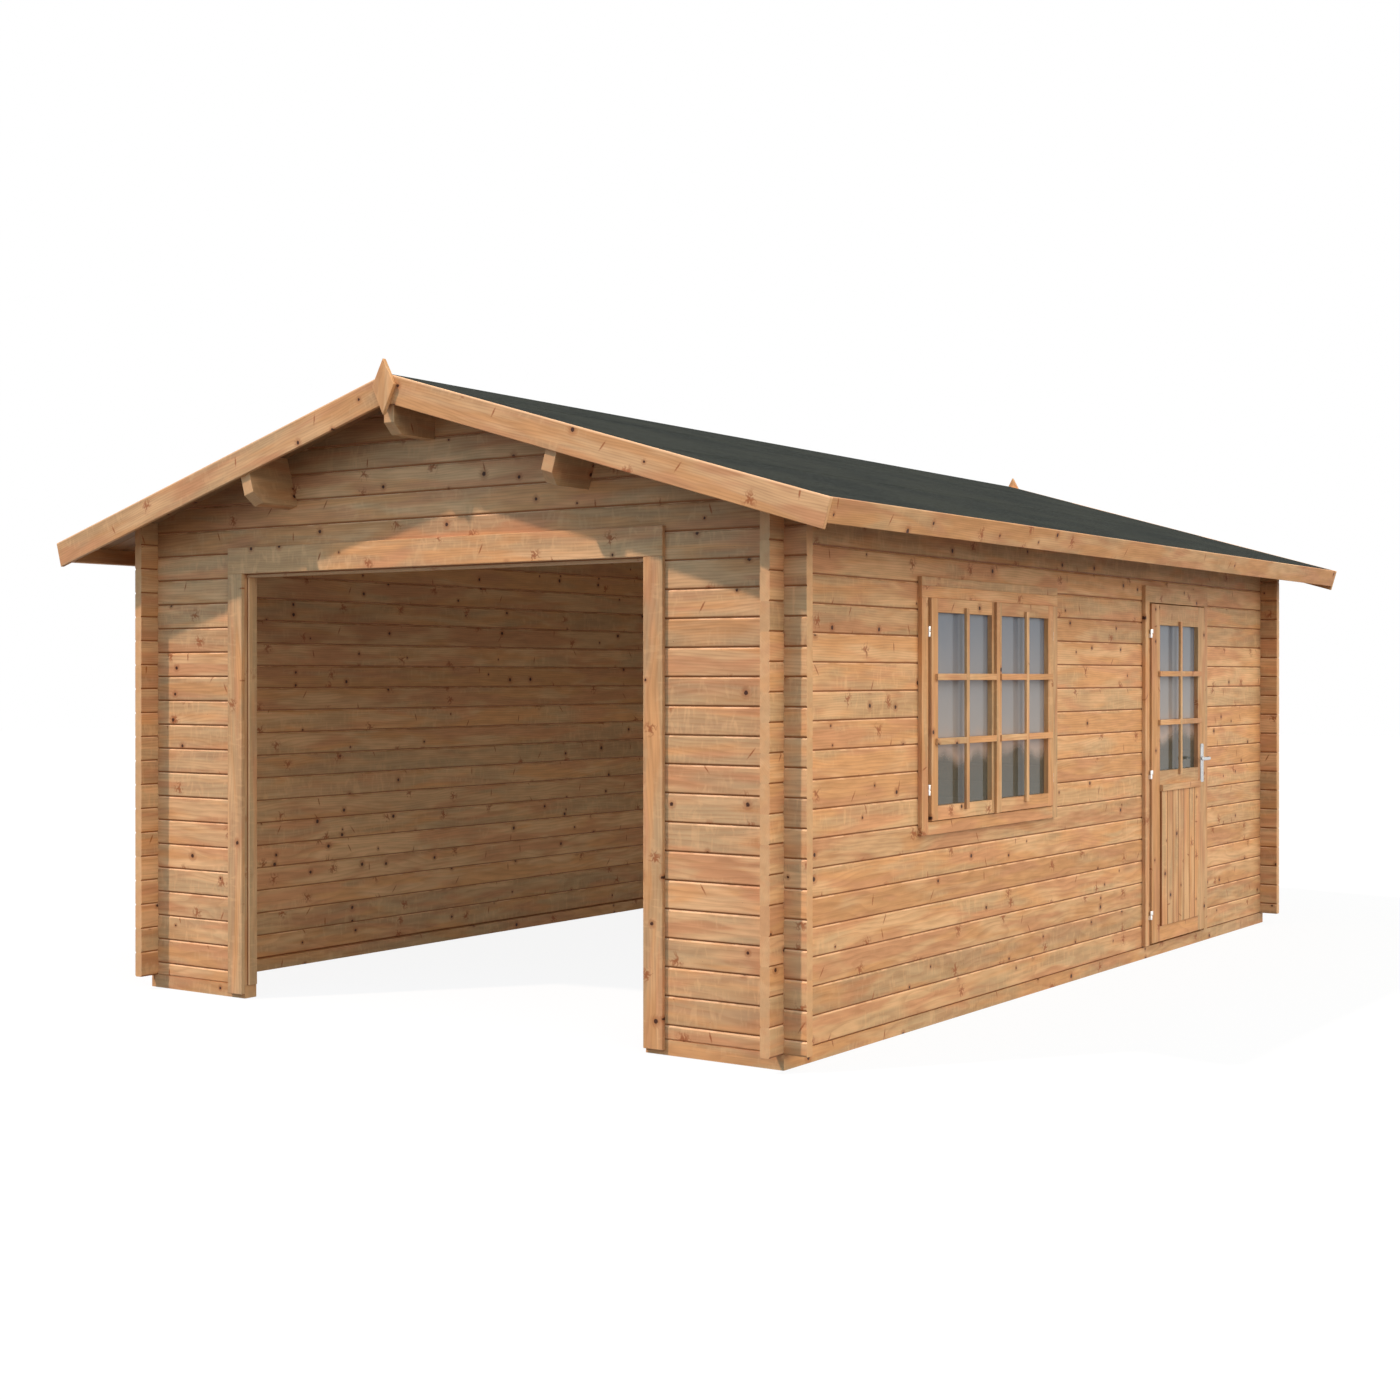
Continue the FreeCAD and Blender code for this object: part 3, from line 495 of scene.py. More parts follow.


# The low tone darkens the boards; it is painted shade for their undersides beneath the roof.
roof_right = timber("pine_roof_right", DOWN_RIGHT, Y, 40.0, tone=0.42)
roof_left = timber("pine_roof_left", DOWN_LEFT, Y, 140.0, tone=0.42)
for side, half_turn, material in (("right", 0.0, roof_right), ("left", math.pi, roof_left)):
    boards = block((0.0, -ROOF_END, 0.0), (ROOF_DOWN, BOARD_W - ROOF_END, BOARD_T))
    bpy.ops.object.mode_set(mode="EDIT")
    pick(boards, "EDGE", lambda a, b: max(a.z, b.z) < 0.001 and abs(a.y - b.y) < 0.001)
    bpy.ops.mesh.bevel(offset=BOARD_CHAMFER, segments=1, affect="EDGES")
    pick(boards, "VERT", lambda place: place.x < 0.001 and place.z > BOARD_T / 2)
    bpy.ops.transform.translate(value=(-BOARD_T * math.tan(PITCH), 0.0, 0.0))
    bpy.ops.object.mode_set(mode="OBJECT")
    row = boards.modifiers.new("row", "ARRAY")
    row.count = ROOF_BOARDS
    row.use_relative_offset = False
    row.use_constant_offset = True
    row.constant_offset_displace = (0.0, BOARD_W, 0.0)
    only(boards)
    bpy.ops.object.modifier_apply(modifier="row")
    number_boards(boards, lambda centre: math.floor((centre.y + ROOF_END) / BOARD_W))
    boards.rotation_euler = (0.0, PITCH, 0.0)
    boards.location = (0.0, 0.0, PEAK_Z)
    bpy.ops.object.transform_apply(location=True, rotation=True, scale=True)
    boards.rotation_euler = (0.0, 0.0, half_turn)
    bpy.ops.object.transform_apply(location=True, rotation=True, scale=True)
    boards.data.materials.append(material)
    dress(material, "roof_boards_" + side)
    stand_for(boards, "jointed_roof_boards_" + side, "garage", "roof_timber", "roof_boards_" + side)

# Roof felt
# Bitumen felt with dark green-grey mineral grit, in sheets a metre wide laid level and
# nailed to the boards, each lapping the one below.
FELT_GREY = (0.014, 0.017, 0.015)
FELT_GREEN = (0.024, 0.027, 0.022)
GRIT_PALE = (0.048, 0.054, 0.052)
FELT_TOP = 0.023
FELT_LAPS = (0.45, 1.36)
LAP_STEP = 0.0012
LAP_FACE = 0.003


def make_felt():
    material = bpy.data.materials.new("mineral_felt")
    material.use_nodes = True
    tree = material.node_tree
    shader = tree.nodes["Principled BSDF"]
    where = tree.nodes.new("ShaderNodeTexCoord").outputs["Object"]
    patch = noise(tree, where, (3.0, 1.2, 3.0), 3.0, 0.6)
    streak = noise(tree, where, (170.0, 22.0, 170.0), 3.0, 0.7)
    grit = noise(tree, where, (420.0, 420.0, 420.0), 1.0, 0.7)
    colour = blend(tree, ease(tree, patch, 0.35, 0.65), FELT_GREY, FELT_GREEN)
    colour = blend(tree, ease(tree, streak, 0.46, 0.62, 0.0, 0.55), colour, GRIT_PALE)
    colour = blend(tree, ease(tree, grit, 0.52, 0.75, 0.0, 0.55), colour, GRIT_PALE)
    link(tree, colour, shader.inputs["Base Color"])
    shader.inputs["Roughness"].default_value = 1.0
    shader.inputs["Specular IOR Level"].default_value = 0.04
    relief = tree.nodes.new("ShaderNodeBump")
    relief.inputs["Strength"].default_value = 0.5
    relief.inputs["Distance"].default_value = 0.0015
    link(tree, grit, relief.inputs["Height"])
    link(tree, relief.outputs[0], shader.inputs["Normal"])
    return material


felt = make_felt()
dress(felt, "roof_felt_left", "roof_felt_right")
down = Vector(DOWN_RIGHT)
over = Vector(OVER_RIGHT)
peak = Vector((0.0, 0.0, PEAK_Z))
for side, half_turn in (("right", 0.0), ("left", math.pi)):
    sheets = copy_of("roof_felt_right")
    bpy.ops.object.mode_set(mode="EDIT")
    for lap in FELT_LAPS:
        for along in (lap, lap + LAP_FACE):
            bpy.ops.mesh.select_all(action="SELECT")
            bpy.ops.mesh.bisect(plane_co=peak + down * along, plane_no=down)
    for lap in FELT_LAPS:
        pick(sheets, "VERT", lambda place: abs((place - peak).dot(down) - lap - LAP_FACE) < 0.0004
             and (place - peak).dot(over) > FELT_TOP - 0.0005)
        bpy.ops.transform.translate(value=-over * LAP_STEP)
    bpy.ops.object.mode_set(mode="OBJECT")
    sheets.rotation_euler = (0.0, 0.0, half_turn)
    bpy.ops.object.transform_apply(location=True, rotation=True, scale=True)
    stand_for(sheets, "lapped_felt_" + side, "garage", "roof_felt", "roof_felt_" + side)

# Barge boards, fascias and finials
# Planed trim boards, 18 mm thick, nailed over the ends of the roof boards, with a pointed
# board over the joint at each peak. They stand up level with the felt.
felt_crest = PEAK_Z * math.cos(PITCH) + FELT_TOP
# Each barge board has a painted highlight along its top arris, level with the felt.
barge_right = timber("pine_barge_right", DOWN_RIGHT, OVER_RIGHT, 21.0, tone=0.86, crest=felt_crest)
barge_left = timber("pine_barge_left", DOWN_LEFT, OVER_LEFT, 22.0, tone=0.86, crest=felt_crest)
upright_front = timber("pine_upright_front", Z, X, 23.0, tone=0.95)
level_eave = timber("pine_eave", Y, Z, 24.0, tone=0.86)
eased("barge_boards_right", "planed_barge_boards_right", barge_right, "trim_timber")
eased("barge_boards_left", "planed_barge_boards_left", barge_left, "trim_timber")
eased("eave_fascias", "planed_fascias", level_eave, "trim_timber")
eased("gable_finials", "planed_finials", upright_front, "trim_timber")

# Wide doorway
# Rebated jambs and a head lining through the front wall, and planed casing boards nailed
# over their joint with the logs. The head casing is one level board.
WALL_END = 2.730
STOP_FACE = 0.015 - WALL_END
OPENING = (1.146, 1.962)
# The jambs and the head lining have a painted highlight on their stops and a painted shadow in their
# rebates.
jamb_board = timber("pine_jambs", Z, X, 31.0, tone=0.88, grey=0.06, rebate=(OPENING[0], STOP_FACE))
lining_board = timber("pine_head_lining", X, Z, 32.0, tone=0.90, grey=0.30,
                      rebate=(OPENING[1], STOP_FACE))
head_board = timber("pine_head_casing", X, Z, 33.0, tone=1.14, grey_from=(-0.85, -0.50, 0.30, 0.06))
side_board = timber("pine_side_casings", Z, X, 34.0, tone=0.98, grey=0.15)
eased("garage_jambs", "planed_jambs", jamb_board, "joinery_timber", 0.0015)
eased("garage_head_lining", "planed_head_lining", lining_board, "joinery_timber", 0.0015)
eased("garage_side_casings", "planed_side_casings", side_board, "trim_timber")
eased("garage_head_casing", "planed_head_casing", head_board, "trim_timber")

# Window
# Two planed pine sashes in a lining, closed, with casing boards outside. Each sash has
# two stiles and two rails round one pane, with a cross of thin bars applied over it.
LINING_X = 1.746
CASING_X = 1.810
SASH_X = 1.820
SASH_BACK = 1.776
BAR_X = 1.833
upright_side = timber("pine_upright_side", Z, Y, 51.0, tone=0.95)
board_count = 0


def board(low, high, material, soft=0.0015):
    # One planed board between two corners, its arrises eased, with a number of its own.
    global board_count
    board_count += 1
    piece = block(low, high)
    bpy.ops.object.mode_set(mode="EDIT")
    bpy.ops.mesh.select_all(action="SELECT")
    bpy.ops.mesh.bevel(offset=soft, segments=2, affect="EDGES")
    bpy.ops.object.mode_set(mode="OBJECT")
    piece.data.materials.append(material)
    number_boards(piece, lambda centre: board_count)
    return piece


def joined(boards, name, slot, body, *replaced):
    # Boards made into one piece, shown in place of the solids.
    only(*boards)
    bpy.ops.object.join()
    return stand_for(boards[0], name, body, slot, *replaced)


FRAME_Y = (-1.6415, -0.3245)
FRAME_Z = (0.833, 1.864)
LINING_T = 0.030
CLEAR_Y = (FRAME_Y[0] + LINING_T, FRAME_Y[1] - LINING_T)
CLEAR_Z = (FRAME_Z[0] + LINING_T, FRAME_Z[1] - LINING_T)
joined([
    board((LINING_X, FRAME_Y[0], FRAME_Z[0]), (WALL_X, CLEAR_Y[0], FRAME_Z[1]), upright_side),
    board((LINING_X, CLEAR_Y[1], FRAME_Z[0]), (WALL_X, FRAME_Y[1], FRAME_Z[1]), upright_side),
    board((LINING_X, CLEAR_Y[0], FRAME_Z[0]), (WALL_X, CLEAR_Y[1], CLEAR_Z[0]), level_side),
    board((LINING_X, CLEAR_Y[0], CLEAR_Z[1]), (WALL_X, CLEAR_Y[1], FRAME_Z[1]), level_side),
], "window_lining_boards", "joinery_timber", "garage", "window_frame")
dress(upright_side, "window_frame", "window_casing", "window_sash_front", "window_sash_rear", "window_bars")

cap_board = timber("pine_window_cap", Y, Z, 61.0, grey_from=(-0.9, -0.3, 0.25, 0.0))
OUTER_Y = (-1.6675, -0.2985)
INNER_Y = (-1.6115, -0.3545)
CASING_Z = (0.815, 0.871, 1.823, 1.873, 1.911)
joined([
    board((WALL_X, OUTER_Y[0], CASING_Z[0]), (CASING_X, INNER_Y[0], CASING_Z[2]), upright_side),
    board((WALL_X, INNER_Y[1], CASING_Z[0]), (CASING_X, OUTER_Y[1], CASING_Z[2]), upright_side),
    board((WALL_X, INNER_Y[0], CASING_Z[0]), (CASING_X, INNER_Y[1], CASING_Z[1]), level_side),
    board((WALL_X, OUTER_Y[0], CASING_Z[2]), (CASING_X, OUTER_Y[1], CASING_Z[3]), level_side),
    board((WALL_X, OUTER_Y[0], CASING_Z[3]), (CASING_X, OUTER_Y[1], CASING_Z[4]), cap_board),
], "window_casing_boards", "trim_timber", "garage", "window_casing")

SASH_Z = (0.875, 0.935, 1.762, 1.822)
BAR_HALF = 0.014
BAR_LAP = 0.024
SEAM_SOFT = 0.0007


def bar_cross(y0, y1, z0, z1):
    # An upright glazing bar, and level bars in two lengths that meet it.
    middle = (y0 + y1) / 2
    near, far = middle - BAR_HALF, middle + BAR_HALF
    bars = [board((SASH_X, near, z0 - BAR_LAP), (BAR_X, far, z1 + BAR_LAP), upright_side)]
    for third in (1, 2):
        z = z0 + (z1 - z0) * third / 3
        low, high = z - BAR_HALF, z + BAR_HALF
        bars.append(board((SASH_X, y0 - BAR_LAP, low), (BAR_X, near, high), level_side))
        bars.append(board((SASH_X, far, low), (BAR_X, y1 + BAR_LAP, high), level_side))
    return bars


window_bars = []
for side, y0, glass0, glass1, y1 in (("front", -1.5995, -1.5415, -1.0250, -0.9780),
                                     ("rear", -0.9720, -0.9250, -0.4245, -0.3665)):
    joined([
        board((SASH_BACK, y0, SASH_Z[0]), (SASH_X, glass0, SASH_Z[3]), upright_side, SEAM_SOFT),
        board((SASH_BACK, glass1, SASH_Z[0]), (SASH_X, y1, SASH_Z[3]), upright_side, SEAM_SOFT),
        board((SASH_BACK, glass0, SASH_Z[0]), (SASH_X, glass1, SASH_Z[1]), level_side, SEAM_SOFT),
        board((SASH_BACK, glass0, SASH_Z[2]), (SASH_X, glass1, SASH_Z[3]), level_side, SEAM_SOFT),
    ], "stiles_and_rails_" + side, "joinery_timber", "garage", "window_sash_" + side)
    window_bars += bar_cross(glass0, glass1, SASH_Z[1], SASH_Z[2])
joined(window_bars, "window_glazing_bars", "joinery_timber", "garage", "window_bars")
eased("window_meeting_strip", "planed_meeting_strip", upright_side, "joinery_timber", 0.0015)

# Glass
# Clear panes 4 mm thick in the grooves of the frames. Their colour is a painted reflection
# of a grey sky above and a darker ground below a warm haze, and they show a little of the inside.
def make_glass(name, low, high):
    material = bpy.data.materials.new(name)
    material.use_nodes = True
    tree = material.node_tree
    shader = tree.nodes["Principled BSDF"]
    where = tree.nodes.new("ShaderNodeTexCoord").outputs["Object"]
    drift = noise(tree, where, (1.0, 5.0, 4.0), 2.0, 0.5)
    height = calc(tree, "MULTIPLY_ADD", drift, 0.16, calc(tree, "SUBTRACT", split(tree, where)[2], 0.08))
    level = tree.nodes.new("ShaderNodeMapRange")
    level.inputs["From Min"].default_value = low
    level.inputs["From Max"].default_value = high
    link(tree, height, level.inputs["Value"])
    # Painted reflection by height on the pane: dark ground, a warm haze, then a grey-blue sky.
    sky = tree.nodes.new("ShaderNodeValToRGB")
    stops = sky.color_ramp.elements
    stops[0].position, stops[0].color = 0.0, (0.110, 0.114, 0.096, 1)
    stops[1].position, stops[1].color = 1.0, (0.228, 0.270, 0.340, 1)
    for position, colour in ((0.21, (0.120, 0.106, 0.080, 1)), (0.28, (0.520, 0.385, 0.315, 1)),
                             (0.40, (0.400, 0.370, 0.360, 1))):
        stops.new(position).color = colour
    link(tree, level.outputs[0], sky.inputs["Fac"])
    link(tree, sky.outputs["Color"], shader.inputs["Base Color"])
    shader.inputs["Roughness"].default_value = 0.04
    shader.inputs["Specular IOR Level"].default_value = 0.5
    shader.inputs["Alpha"].default_value = 0.68
    return material


dress(make_glass("window_pane_glass", 0.935, 1.762), "window_glass")
dress(make_glass("door_pane_glass", 0.984, 1.762), "door_glass")

# Window hinges
# Pressed steel barrel hinges, bright zinc plated, in the gap between casing and sash.
# Each has two knuckles with rounded ends, on a web let into the gap.
def make_metal(name, colour, rough):
    material = bpy.data.materials.new(name)
    material.use_nodes = True
    tree = material.node_tree
    shader = tree.nodes["Principled BSDF"]
    where = tree.nodes.new("ShaderNodeTexCoord").outputs["Object"]
    cloudy = noise(tree, where, (60.0, 60.0, 25.0), 3.0, 0.6)
    brushed = noise(tree, where, (900.0, 900.0, 60.0), 2.0, 0.6)
    dull = tuple(0.82 * part for part in colour)
    link(tree, blend(tree, ease(tree, cloudy, 0.35, 0.65), dull, colour), shader.inputs["Base Color"])
    link(tree, ease(tree, brushed, 0.3, 0.7, rough - 0.05, rough + 0.09), shader.inputs["Roughness"])
    shader.inputs["Metallic"].default_value = 1.0
    relief = tree.nodes.new("ShaderNodeBump")
    relief.inputs["Strength"].default_value = 0.08
    relief.inputs["Distance"].default_value = 0.0004
    link(tree, brushed, relief.inputs["Height"])
    link(tree, relief.outputs[0], shader.inputs["Normal"])
    return material


zinc = make_metal("bright_zinc", (0.86, 0.86, 0.85), 0.34)
KNUCKLE_GAP = 0.0012
TIP_SOFT = 0.0022


def knuckle(x, y, z0, z1, radius):
    # A round knuckle with rounded rims.
    bpy.ops.object.select_all(action="DESELECT")
    bpy.ops.mesh.primitive_cylinder_add(vertices=28, radius=radius, depth=z1 - z0,
                                        location=(x, y, (z0 + z1) / 2))
    bpy.ops.object.transform_apply(location=True, rotation=True, scale=True)
    piece = bpy.context.object
    soften(piece, min(TIP_SOFT, radius * 0.45), 3, 60.0, True)
    return piece


def metal_block(low, high, soft=0.0008):
    piece = block(low, high)
    soften(piece, soft)
    return piece


HINGE_HALF = 0.023
WEB_X = (1.795, 1.811)
WEB_HALF = 0.0058
KNUCKLE_R = 0.006
parts = []
for z in (1.006, 1.679):
    low, high = z - HINGE_HALF, z + HINGE_HALF
    for y in (-1.6055, -0.3605):
        parts.append(metal_block((WEB_X[0], y - WEB_HALF, low), (WEB_X[1], y + WEB_HALF, high)))
        parts.append(knuckle(WEB_X[1], y, low, z - KNUCKLE_GAP / 2, KNUCKLE_R))
        parts.append(knuckle(WEB_X[1], y, z + KNUCKLE_GAP / 2, high, KNUCKLE_R))
for piece in parts:
    piece.data.materials.append(zinc)
joined(parts, "window_barrel_hinges", "hinge_metal", "garage", "window_hinges")
dress(zinc, "window_hinges")

# Side door
# A half-glazed pine door in a rebated lining, hung on three hinges to open outwards. The
# leaf's stiles and rails hold a pane above and seven upright boards below a batten.
DOOR_Y = (0.8375, 1.7025)
LINED_Y = (0.8675, 1.6725)
STOPPED_Y = (0.8815, 1.6585)
STOP_X = 1.771
DOOR_HEAD = (1.865, 1.879, 1.909)
SILL_TOP = 0.092
joined([
    board((LINING_X, DOOR_Y[0], BASE_H), (WALL_X, LINED_Y[0], DOOR_HEAD[2]), upright_side),
    board((LINING_X, LINED_Y[1], BASE_H), (WALL_X, DOOR_Y[1], DOOR_HEAD[2]), upright_side),
    board((LINING_X, LINED_Y[0], DOOR_HEAD[1]), (WALL_X, LINED_Y[1], DOOR_HEAD[2]), level_side),
    board((LINING_X, LINED_Y[0], SILL_TOP), (STOP_X, STOPPED_Y[0], DOOR_HEAD[1]), upright_side),
    board((LINING_X, STOPPED_Y[1], SILL_TOP), (STOP_X, LINED_Y[1], DOOR_HEAD[1]), upright_side),
    board((LINING_X, STOPPED_Y[0], DOOR_HEAD[0]), (STOP_X, STOPPED_Y[1], DOOR_HEAD[1]), level_side),
    board((LINING_X, LINED_Y[0], BASE_H), (STOP_X, LINED_Y[1], SILL_TOP), level_side),
], "door_lining_boards", "joinery_timber", "garage", "door_frame")
dress(upright_side, "door_frame", "door_casing", "door_leaf", "door_bars", "door_batten")

CASED_Y = (0.8115, 1.7285)
CASED_Z = (0.068, 1.967)
joined([
    board((WALL_X, CASED_Y[0], CASED_Z[0]), (CASING_X, LINED_Y[0], DOOR_HEAD[1]), upright_side),
    board((WALL_X, LINED_Y[1], CASED_Z[0]), (CASING_X, CASED_Y[1], DOOR_HEAD[1]), upright_side),
    board((WALL_X, CASED_Y[0], DOOR_HEAD[1]), (CASING_X, CASED_Y[1], CASED_Z[1]), level_side),
], "door_casing_boards", "trim_timber", "garage", "door_casing")

LEAF_Y = (0.8735, 1.6665)
PANE_Y = (0.9875, 1.5525)
LEAF_Z = (0.078, 0.160, 0.878, 0.984, 1.762, 1.873)
BEAD_X = 1.8115
BEAD_W = 0.020
BEAD_Y = (PANE_Y[0] + BEAD_W, PANE_Y[1] - BEAD_W)
joined([
    board((SASH_BACK, LEAF_Y[0], LEAF_Z[0]), (SASH_X, PANE_Y[0], LEAF_Z[5]), upright_side, SEAM_SOFT),
    board((SASH_BACK, PANE_Y[1], LEAF_Z[0]), (SASH_X, LEAF_Y[1], LEAF_Z[5]), upright_side, SEAM_SOFT),
    board((SASH_BACK, PANE_Y[0], LEAF_Z[0]), (SASH_X, PANE_Y[1], LEAF_Z[1]), level_side, SEAM_SOFT),
    board((SASH_BACK, PANE_Y[0], LEAF_Z[2]), (SASH_X, PANE_Y[1], LEAF_Z[3]), level_side, SEAM_SOFT),
    board((SASH_BACK, PANE_Y[0], LEAF_Z[4]), (SASH_X, PANE_Y[1], LEAF_Z[5]), level_side, SEAM_SOFT),
    board((SASH_BACK, PANE_Y[0], LEAF_Z[1]), (BEAD_X, BEAD_Y[0], LEAF_Z[2]), upright_side, SEAM_SOFT),
    board((SASH_BACK, BEAD_Y[1], LEAF_Z[1]), (BEAD_X, PANE_Y[1], LEAF_Z[2]), upright_side, SEAM_SOFT),
    board((SASH_BACK, BEAD_Y[0], LEAF_Z[1]), (BEAD_X, BEAD_Y[1], LEAF_Z[1] + BEAD_W), level_side, SEAM_SOFT),
    board((SASH_BACK, BEAD_Y[0], LEAF_Z[2] - BEAD_W), (BEAD_X, BEAD_Y[1], LEAF_Z[2]), level_side, SEAM_SOFT),
], "leaf_stiles_and_rails", "joinery_timber", "side_door", "door_leaf")
joined(bar_cross(PANE_Y[0], PANE_Y[1], LEAF_Z[3], LEAF_Z[4]),
       "door_glazing_bars", "joinery_timber", "side_door", "door_bars")

PANEL_BOARDS = 7
PANEL_BACK = 1.812
PANEL_FRONT = 1.830
PANEL_SOFT = 0.0028
panel_w = (PANE_Y[1] - PANE_Y[0]) / PANEL_BOARDS
panel_pine = timber("pine_door_panel", Z, Y, 53.0, (panel_w, PANE_Y[0], 0.0085), tone=0.98)
dress(panel_pine, "door_panel")
panel_seams = [PANE_Y[0] + k * panel_w for k in range(PANEL_BOARDS + 1)]
joined([
    board((PANEL_BACK, left, LEAF_Z[1]), (PANEL_FRONT, right, LEAF_Z[2]), panel_pine, PANEL_SOFT)
    for left, right in zip(panel_seams, panel_seams[1:])
], "door_panel_boards", "joinery_timber", "side_door", "door_panel")
eased("door_batten", "planed_door_batten", level_side, "joinery_timber", 0.0015, "side_door")

# Door hinges and lock
# Zinc-plated barrel hinges, half on the casing and half on the leaf, and satin aluminium
# long plates with lever handles on both faces, screwed through the leaf.
satin = make_metal("satin_aluminium", (0.60, 0.61, 0.62), 0.30)
HINGE_X = 1.820
HINGE_Y = 0.8615
HINGE_R = 0.007
FOOT_H = 0.0225
HEAD_GAP = 0.001
PIN_R = 0.003
PIN_REACH = 0.012
FLAP_T = 0.003
FLAP_W = 0.012
FLAP_SOFT = 0.0005
fixed = []
moving = []
for z in (0.228, 0.970, 1.715):
    low, high = z - HINGE_HALF, z + HINGE_HALF
    middle = low + FOOT_H
    fixed.append(knuckle(HINGE_X, HINGE_Y, low, middle, HINGE_R))
    fixed.append(metal_block((CASING_X, HINGE_Y - HINGE_R, low),
                             (HINGE_X, HINGE_Y - HINGE_R / 2, middle), FLAP_SOFT))
    fixed.append(knuckle(HINGE_X, HINGE_Y, middle - HEAD_GAP, middle + PIN_REACH, PIN_R))
    moving.append(knuckle(HINGE_X, HINGE_Y, middle + HEAD_GAP, high, HINGE_R))
    moving.append(metal_block((SASH_X, HINGE_Y, middle + HEAD_GAP),
                              (SASH_X + FLAP_T, LEAF_Y[0] + FLAP_W, high), FLAP_SOFT))
for piece in fixed + moving:
    piece.data.materials.append(zinc)
joined(fixed, "door_hinge_feet", "hinge_metal", "garage", "door_hinge_fixed")
joined(moving, "door_hinge_heads", "hinge_metal", "side_door", "door_hinge_moving")
dress(zinc, "door_hinge_fixed", "door_hinge_moving")
dress(satin, "door_lock_plates", "door_levers")

PLATE_Y = 1.6065
PLATE_HALF = 0.022
PLATE_Z = (0.900, 1.114)
PLATE_T = 0.005
PLATE_ROUND = 0.009
SCREW_Z = (0.913, 1.101)
SCREW_R = 0.0042
SCREW_H = 0.0016
SOCKET_DEPTH = 0.0010
plates = copy_of("door_lock_plates")
bpy.ops.object.mode_set(mode="EDIT")
pick(plates, "EDGE", lambda a, b: abs(a.y - b.y) < 0.0001 and abs(a.z - b.z) < 0.0001
     and abs(abs(a.y - PLATE_Y) - PLATE_HALF) < 0.0005 and min(abs(a.z - z) for z in PLATE_Z) < 0.0005)
bpy.ops.mesh.bevel(offset=PLATE_ROUND, segments=6, affect="EDGES")
bpy.ops.object.mode_set(mode="OBJECT")
soften(plates, 0.0012, 2, 50.0)
screws = []
for face, out in ((SASH_X + PLATE_T, 1), (SASH_BACK - PLATE_T, -1)):
    for z in SCREW_Z:
        bpy.ops.object.select_all(action="DESELECT")
        bpy.ops.mesh.primitive_cylinder_add(vertices=24, radius=SCREW_R, depth=SCREW_H,
                                            location=(face, PLATE_Y, z),
                                            rotation=(0.0, out * math.pi / 2, 0.0))
        bpy.ops.object.transform_apply(location=True, rotation=True, scale=True)
        screw = bpy.context.object
        bpy.ops.object.mode_set(mode="EDIT")
        pick(screw, "FACE", lambda side: side.normal.x * out > 0.9)
        bpy.ops.mesh.inset(thickness=0.0009)
        bpy.ops.transform.translate(value=(out * 0.0005, 0.0, 0.0))
        bpy.ops.mesh.inset(thickness=0.0016)
        sunk = {"value": (-out * SOCKET_DEPTH, 0.0, 0.0)}
        bpy.ops.mesh.extrude_region_move(TRANSFORM_OT_translate=sunk)
        bpy.ops.object.mode_set(mode="OBJECT")
        screws.append(screw)
for piece in [plates, *screws]:
    piece.data.materials.clear()
    piece.data.materials.append(satin)
joined([plates, *screws], "screwed_lock_plates", "lock_metal", "side_door", "door_lock_plates")
levers = copy_of("door_levers")
soften(levers, 0.0035, 4, 42.0, True)
levers.data.materials.clear()
levers.data.materials.append(satin)
stand_for(levers, "rounded_levers", "door_lever", "lock_metal", "door_levers")

# Ground
# A plain white floor that takes the garage's soft shadow. There is no floor inside.
GROUND_SIZE = 80.0
GROUND_SEEN = 0.97
GROUND_LIT = 0.20
bpy.ops.object.select_all(action="DESELECT")
bpy.ops.mesh.primitive_plane_add(size=GROUND_SIZE, location=(0.0, 0.0, -0.002))
ground = bpy.context.object
ground.name = "ground"


def seen_directly(tree):
    # One for what the camera, a mirror or a pane sees, and nought for other light.
    paths = tree.nodes.new("ShaderNodeLightPath")
    either = calc(tree, "MAXIMUM", paths.outputs["Is Camera Ray"], paths.outputs["Is Glossy Ray"])
    return calc(tree, "MAXIMUM", either, paths.outputs["Is Transmission Ray"])


ground_finish = bpy.data.materials.new("white_ground")
ground_finish.use_nodes = True
tree = ground_finish.node_tree
shader = tree.nodes["Principled BSDF"]
shader.inputs["Roughness"].default_value = 1.0
shader.inputs["Specular IOR Level"].default_value = 0.0
seen = seen_directly(tree)
link(tree, blend(tree, seen, (GROUND_LIT,) * 3, (GROUND_SEEN,) * 3), shader.inputs["Base Color"])
glow = tree.nodes.new("ShaderNodeEmission")
glow.inputs["Strength"].default_value = 1.0
mix = tree.nodes.new("ShaderNodeMixShader")
link(tree, calc(tree, "MULTIPLY", seen, 0.90), mix.inputs[0])
link(tree, shader.outputs[0], mix.inputs[1])
link(tree, glow.outputs[0], mix.inputs[2])
link(tree, mix.outputs[0], tree.nodes["Material Output"].inputs["Surface"])
ground.data.materials.append(ground_finish)

# Light
# A warm sun from the front left, a broad light on the long right wall, a cool sky on the
# gable, an even pale surround, and a soft lamp inside for the far wall.
def sun(name, travel, strength, colour, angle):
    lamp_data = bpy.data.lights.new(name, "SUN")
    lamp_data.energy = strength
    lamp_data.color = colour
    lamp_data.angle = math.radians(angle)
    lamp = bpy.data.objects.new(name, lamp_data)
    lamp.rotation_euler = Vector(travel).to_track_quat("-Z", "Y").to_euler()
    bpy.context.scene.collection.objects.link(lamp)


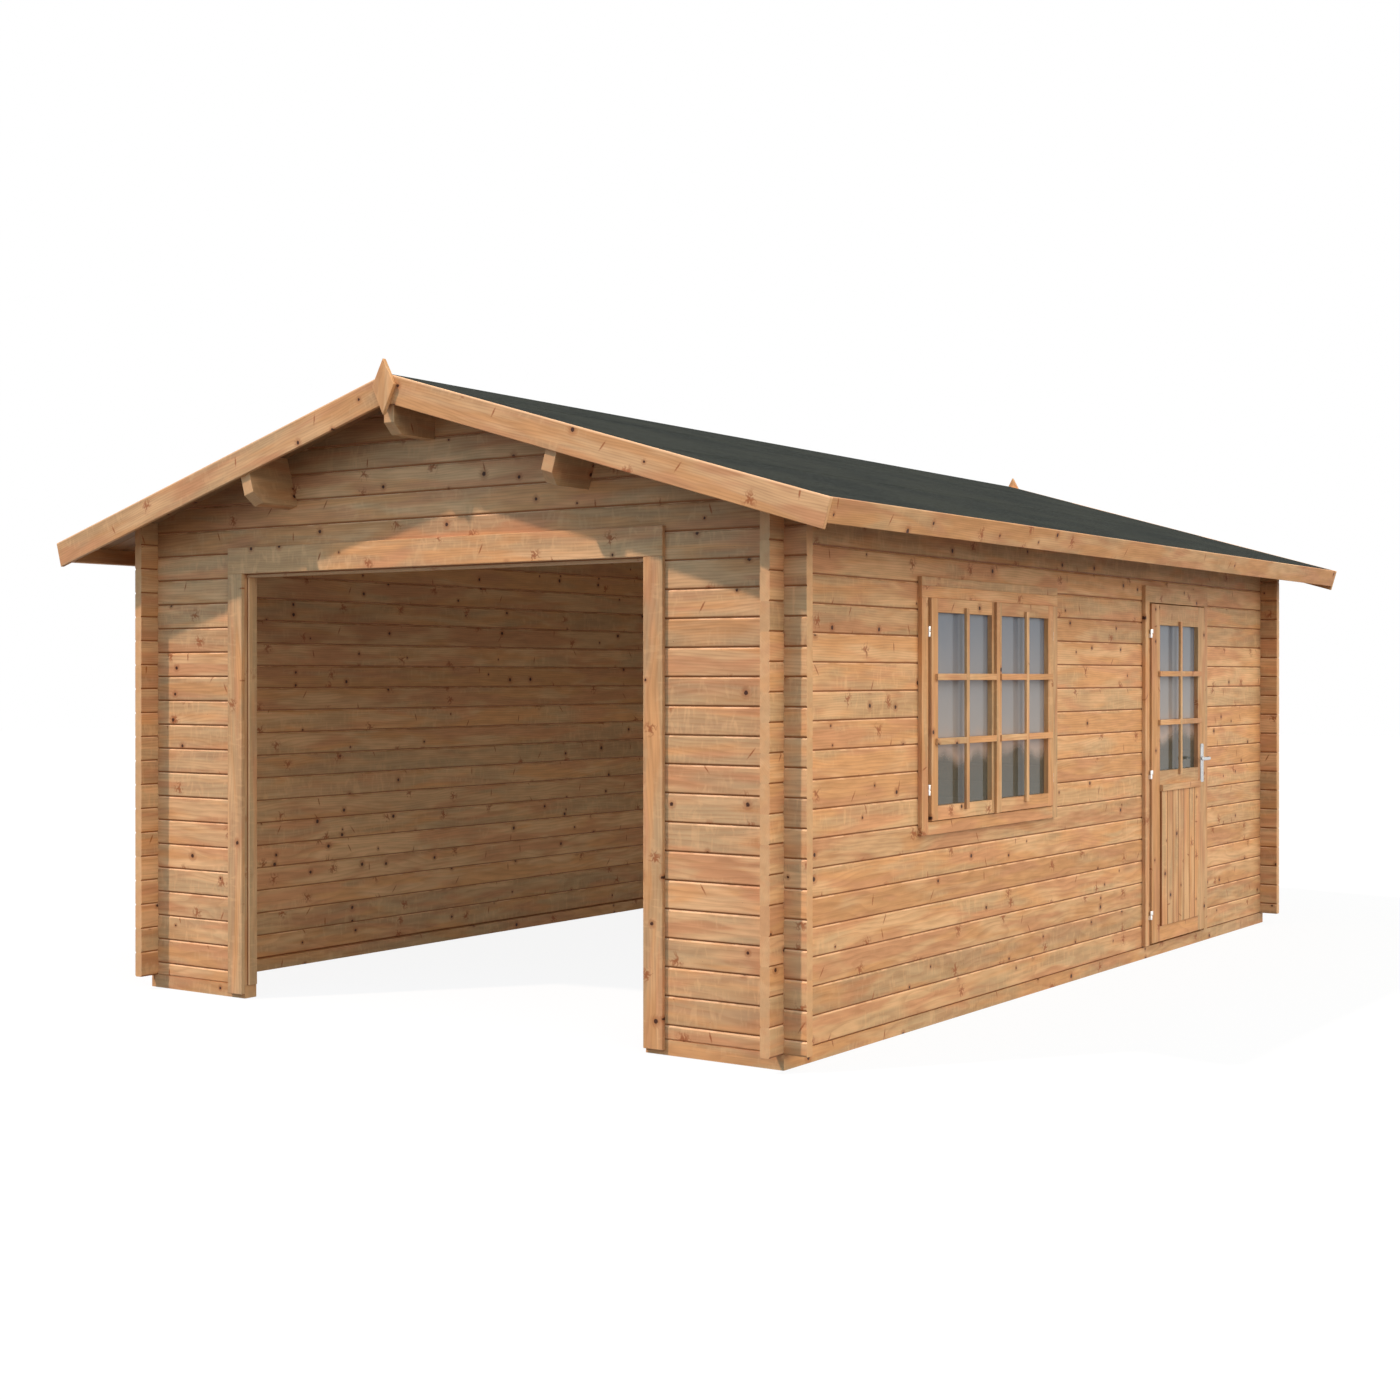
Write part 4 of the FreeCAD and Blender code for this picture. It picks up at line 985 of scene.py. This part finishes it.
sun("low_sun", (0.383, 0.499, -0.777), 3.06, (1.0, 0.783, 0.645), 2.0)
sun("side_light", (-0.86, -0.15, -0.49), 3.19, (1.0, 0.936, 0.811), 95.0)
sun("cool_sky", (0.10, 0.75, -0.65), 1.42, (0.32, 0.68, 1.0), 100.0)
room_data = bpy.data.lights.new("room_light", "AREA")
room_data.shape = "RECTANGLE"
room_data.size = 1.0
room_data.size_y = 4.0
room_data.energy = 22.0
room_data.color = (0.98, 1.0, 0.93)
room_light = bpy.data.objects.new("room_light", room_data)
room_light.location = (1.45, 0.0, 0.66)
room_light.rotation_euler = Vector((-1.0, 0.0, 0.0)).to_track_quat("-Z", "Z").to_euler()
room_light.visible_camera = False
bpy.context.scene.collection.objects.link(room_light)
world = bpy.data.worlds.new("pale_surround")
bpy.context.scene.world = world
world.use_nodes = True
tree = world.node_tree
surround = tree.nodes["Background"]
surround.inputs["Color"].default_value = (1.0, 1.0, 1.0, 1.0)
surround.inputs["Strength"].default_value = 0.24
white = tree.nodes.new("ShaderNodeBackground")
white.inputs["Color"].default_value = (1.0, 1.0, 1.0, 1.0)
white.inputs["Strength"].default_value = 1.0
mix = tree.nodes.new("ShaderNodeMixShader")
link(tree, seen_directly(tree), mix.inputs[0])
link(tree, surround.outputs[0], mix.inputs[1])
link(tree, white.outputs[0], mix.inputs[2])
link(tree, mix.outputs[0], tree.nodes["World Output"].inputs["Surface"])

# View
# From beyond the front right corner, a little over head height.
# IMAGE, FOCAL and RAISED are in pixels of the photograph.
IMAGE = 1400
FOCAL = 1965.55
RAISED = 19.81
camera_data = bpy.data.cameras.new("view")
camera_data.sensor_width = 36.0
camera_data.lens = FOCAL / IMAGE * camera_data.sensor_width
camera_data.shift_y = -RAISED / IMAGE
camera_data.clip_end = 200.0
camera = bpy.data.objects.new("view", camera_data)
camera.location = (5.7311, -9.0185, 1.4878)
camera.rotation_euler = (math.pi / 2 - 0.00185, 0.0, 0.60251)
bpy.context.scene.collection.objects.link(camera)
bpy.context.scene.camera = camera
bpy.context.scene.view_settings.view_transform = "Standard"
